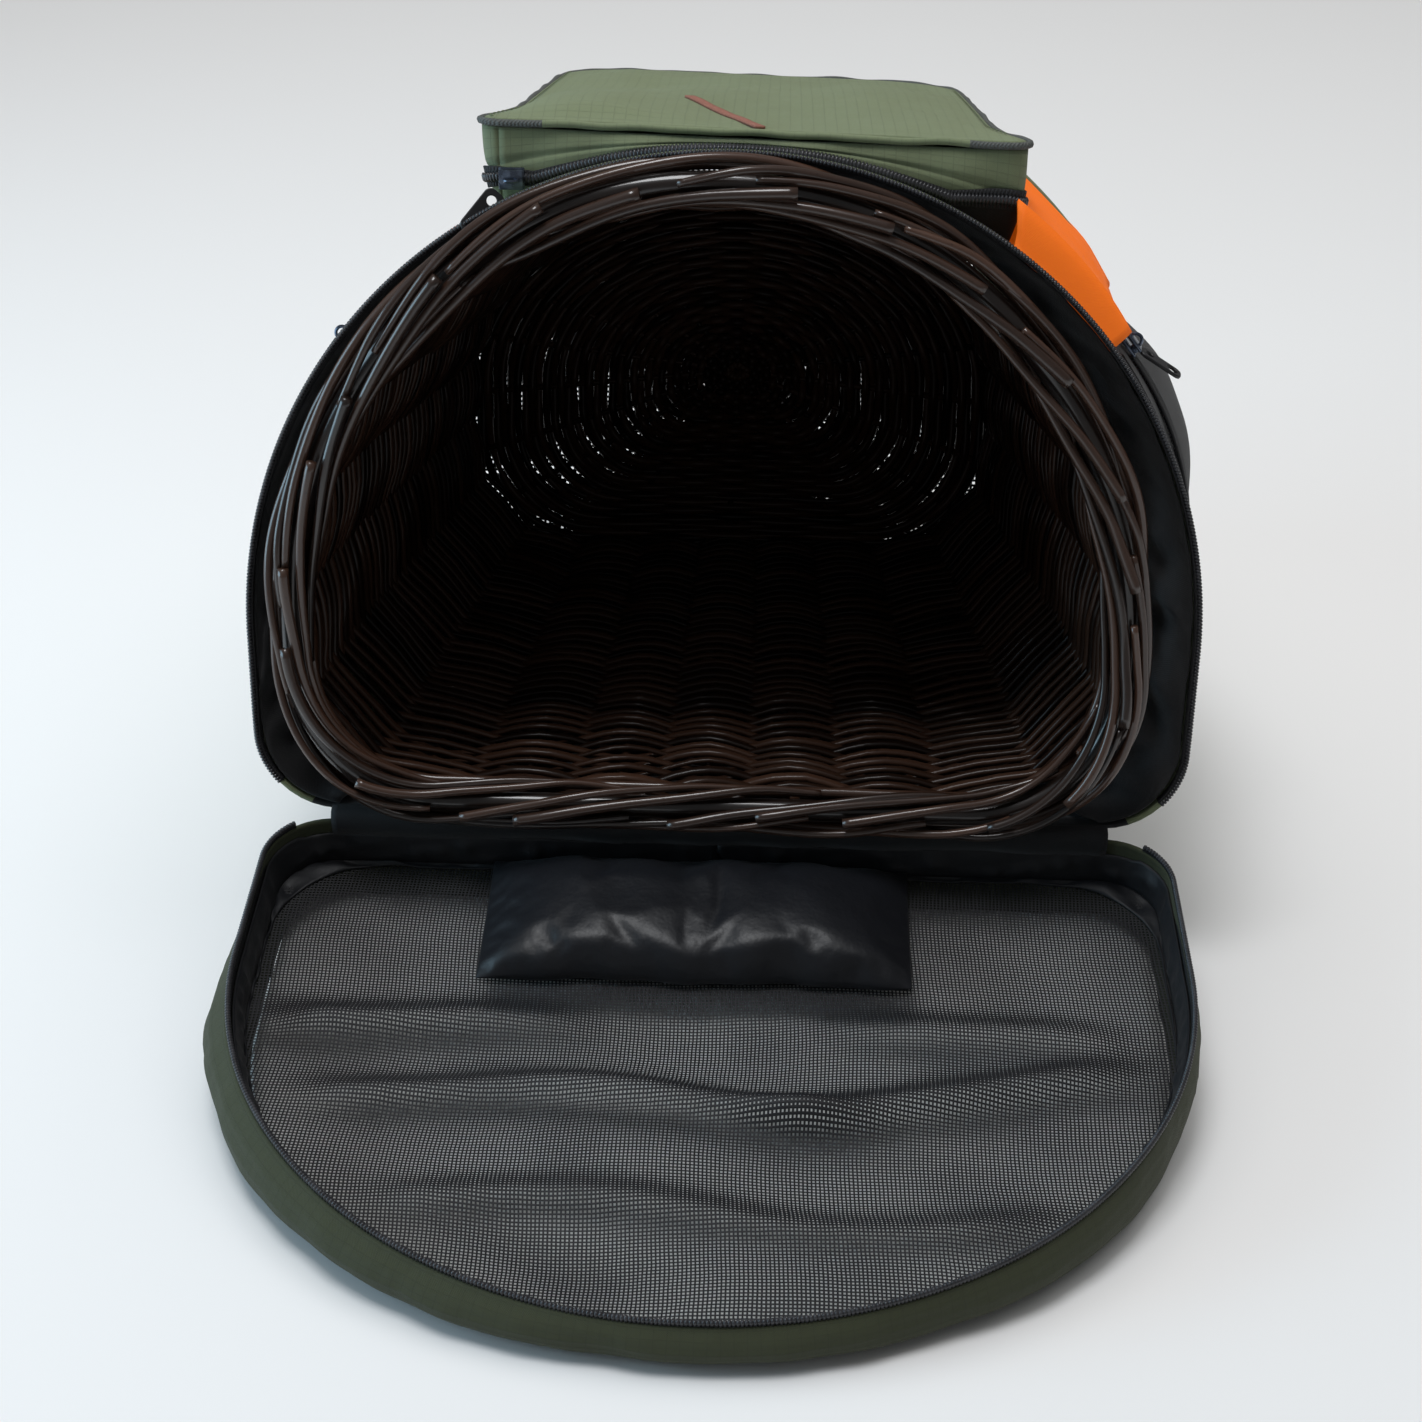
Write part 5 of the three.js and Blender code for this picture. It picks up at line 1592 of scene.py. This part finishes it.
class BackpackHarness(bpy.types.Operator):
    """Makes the padded back, the straps, their webbing and the haul loop under the bag"""

    bl_idname = "backpack.harness"
    bl_label = "Harness"

    def execute(self, context):
        self.back(context)
        for side, mirror, _ in SIDES:
            self.strap(context, side, mirror)
            self.webbing(context, side, mirror)
        self.loop(context)
        for side, _, _ in SIDES:
            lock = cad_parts[f"ladder_lock_{side}"]
            lock.data.materials.clear()
            lock.data.materials.append(finish(context, "plastic"))
        return {"FINISHED"}

    @staticmethod
    def back(context):
        outline = round_box(116, 29, 430, 30, 30, (40, 70, 16, 16))
        f, flat = fan(resample(outline, np.linspace(0, 1, 201), 0.0), (0, 230), 22)
        x, depth = flat[..., 0], flat[..., 1]
        body = 1 - f**8
        channel = np.exp(-((x / 5) ** 2)) + np.exp(-(((np.abs(depth - 230) - 100) / 5) ** 2))
        low = 9.2 - 6.4 * body + 2.4 * np.minimum(channel, 1) * body
        work = Workpiece()
        work.grid(in_bag(xyz(x, depth, 9.2 + 5.8 * body)), flat * MM, flip=True)
        work.grid(in_bag(xyz(x, depth, low)), flat * MM)
        pad = work.piece("back_pad_cloth", finish(context, "black_cloth"))
        top = [i for i, vertex in enumerate(pad.data.vertices) if vertex.normal.z > -0.2]
        inflate(context, pad, 4.0, 0.02, 0.003, top)
        subdivide(pad)
        settle(pad, "black_cloth", "back_pad")

    @staticmethod
    def strap(context, side, mirror):
        thick, wide, start, turn, end = 14, 66, 150, 52, 236
        begin, bend = under_back(start, 7.3), under_back(turn, 7.3)
        radius = (bend[1] - thick / 2) / (1 + math.cos(TILT))
        centre = bend + radius * np.array([-math.sin(TILT), -math.cos(TILT)])
        angles = np.linspace(math.pi / 2 - TILT, 1.5 * math.pi, 30)
        bent = centre + radius * np.stack([np.cos(angles), np.sin(angles)], -1)
        straight = lerp(begin, bend, np.linspace(0, 1, 16)[:, None])[:-1]
        path = np.concatenate([straight, bent, [[end, thick / 2]]])
        step = np.append(0, np.cumsum(np.linalg.norm(np.diff(path, axis=0), axis=1)))
        spots = np.linspace(0, step[-1], 70)
        y, z = (np.interp(spots, step, c) for c in path.T)
        x = mirror * lerp(58, 92, spots / step[-1])
        work = Workpiece()
        flat_band(work, xyz(x, y, z), wide, thick - 0.6)
        for edge in (-wide / 2, wide / 2):
            hem = xyz(x + edge, y, z)[1:-1]
            work.rod(on_floor(hem), 0.0022, np.array([1.0, 0, 0]), 8, slot=1)
        finishes = [finish(context, "black_cloth"), finish(context, "webbing")]
        strap = work.piece(f"shoulder_strap_{side}_pad", finishes)
        settle(strap, "black_cloth", f"shoulder_strap_{side}")

    @staticmethod
    def webbing(context, side, mirror):
        meet, last = (under_back(depth, 1.2 + SEAT - 14) for depth in (404, 424))
        knots = np.array([(92, 268.6, 1.2), (136, 334, 1.2), (136, *meet), (136, *last)])
        knots[:, 0] *= mirror
        places = np.linspace(0, 1, 60)
        path = np.stack([np.interp(places, [0, 0.5, 0.86, 1.0], c) for c in knots.T], -1)
        for _ in range(30):
            path[1:-1] = path[1:-1] / 2 + (path[:-2] + path[2:]) / 4
        path[:, 2] = np.maximum(path[:, 2], 1.3)
        work = Workpiece()
        flat_band(work, path, 25, 2.2, 0.6, 16)
        tape = work.piece(f"strap_webbing_{side}_tape", finish(context, "webbing"))
        settle(tape, "black_cloth", f"strap_webbing_{side}")

    @staticmethod
    def loop(context):
        turn = np.linspace(0, np.pi, 48)
        flat = np.stack([17 * np.cos(turn), 44 * np.sin(turn)], -1)
        out = unit(flat)
        ring = np.linspace(0, 2 * np.pi, 17)[None]
        across = np.sign(np.cos(ring)) * np.abs(np.cos(ring)) ** 0.5 * 5.8
        x = flat[:, :1] + out[:, :1] * across
        depth = 34 + flat[:, 1:] + out[:, 1:] * across
        tube = xyz(x, *under_back(depth, 1.5 + 1.1 * np.sin(ring)))
        work = Workpiece()
        work.grid(on_floor(capped(tube, tube[0].mean(0), tube[-1].mean(0))))
        loop = work.piece("haul_loop_tape", finish(context, "webbing"), outward=True)
        settle(loop, "black_cloth", "haul_loop")


# Panel and registration


class BackpackPanel(bpy.types.Panel):
    bl_idname = "VIEW3D_PT_backpack"
    bl_label = "Mushroom Backpack"
    bl_space_type = "VIEW_3D"
    bl_region_type = "UI"
    bl_category = "Backpack"

    def draw(self, context):
        scene = context.scene
        for operator in OPERATORS:
            self.layout.operator(operator.bl_idname)
        for group in (scene.backpack_sizes, scene.backpack_colours, scene.backpack_studio):
            for key in group.__annotations__:
                self.layout.prop(group, key)


OPERATORS = (
    BackpackStage,
    BackpackBasketWall,
    BackpackBasketBase,
    BackpackBasketRim,
    BackpackBag,
    BackpackMainZip,
    BackpackFrontPocket,
    BackpackSides,
    BackpackLid,
    BackpackPouch,
    BackpackSliders,
    BackpackHarness,
)
GROUPS = (BackpackSizes, BackpackColours, BackpackStudio)


def register():
    for cls in (*GROUPS, *OPERATORS, BackpackPanel):
        bpy.utils.register_class(cls)
    bpy.types.Scene.backpack_sizes = PointerProperty(type=BackpackSizes)
    bpy.types.Scene.backpack_colours = PointerProperty(type=BackpackColours)
    bpy.types.Scene.backpack_studio = PointerProperty(type=BackpackStudio)


def unregister():
    del bpy.types.Scene.backpack_sizes, bpy.types.Scene.backpack_colours, bpy.types.Scene.backpack_studio
    for cls in (BackpackPanel, *reversed(OPERATORS), *reversed(GROUPS)):
        bpy.utils.unregister_class(cls)


def main():
    register()
    for operator in OPERATORS:
        family, name = operator.bl_idname.split(".")
        getattr(getattr(bpy.ops, family), name)()


if __name__ == "__main__":
    main()
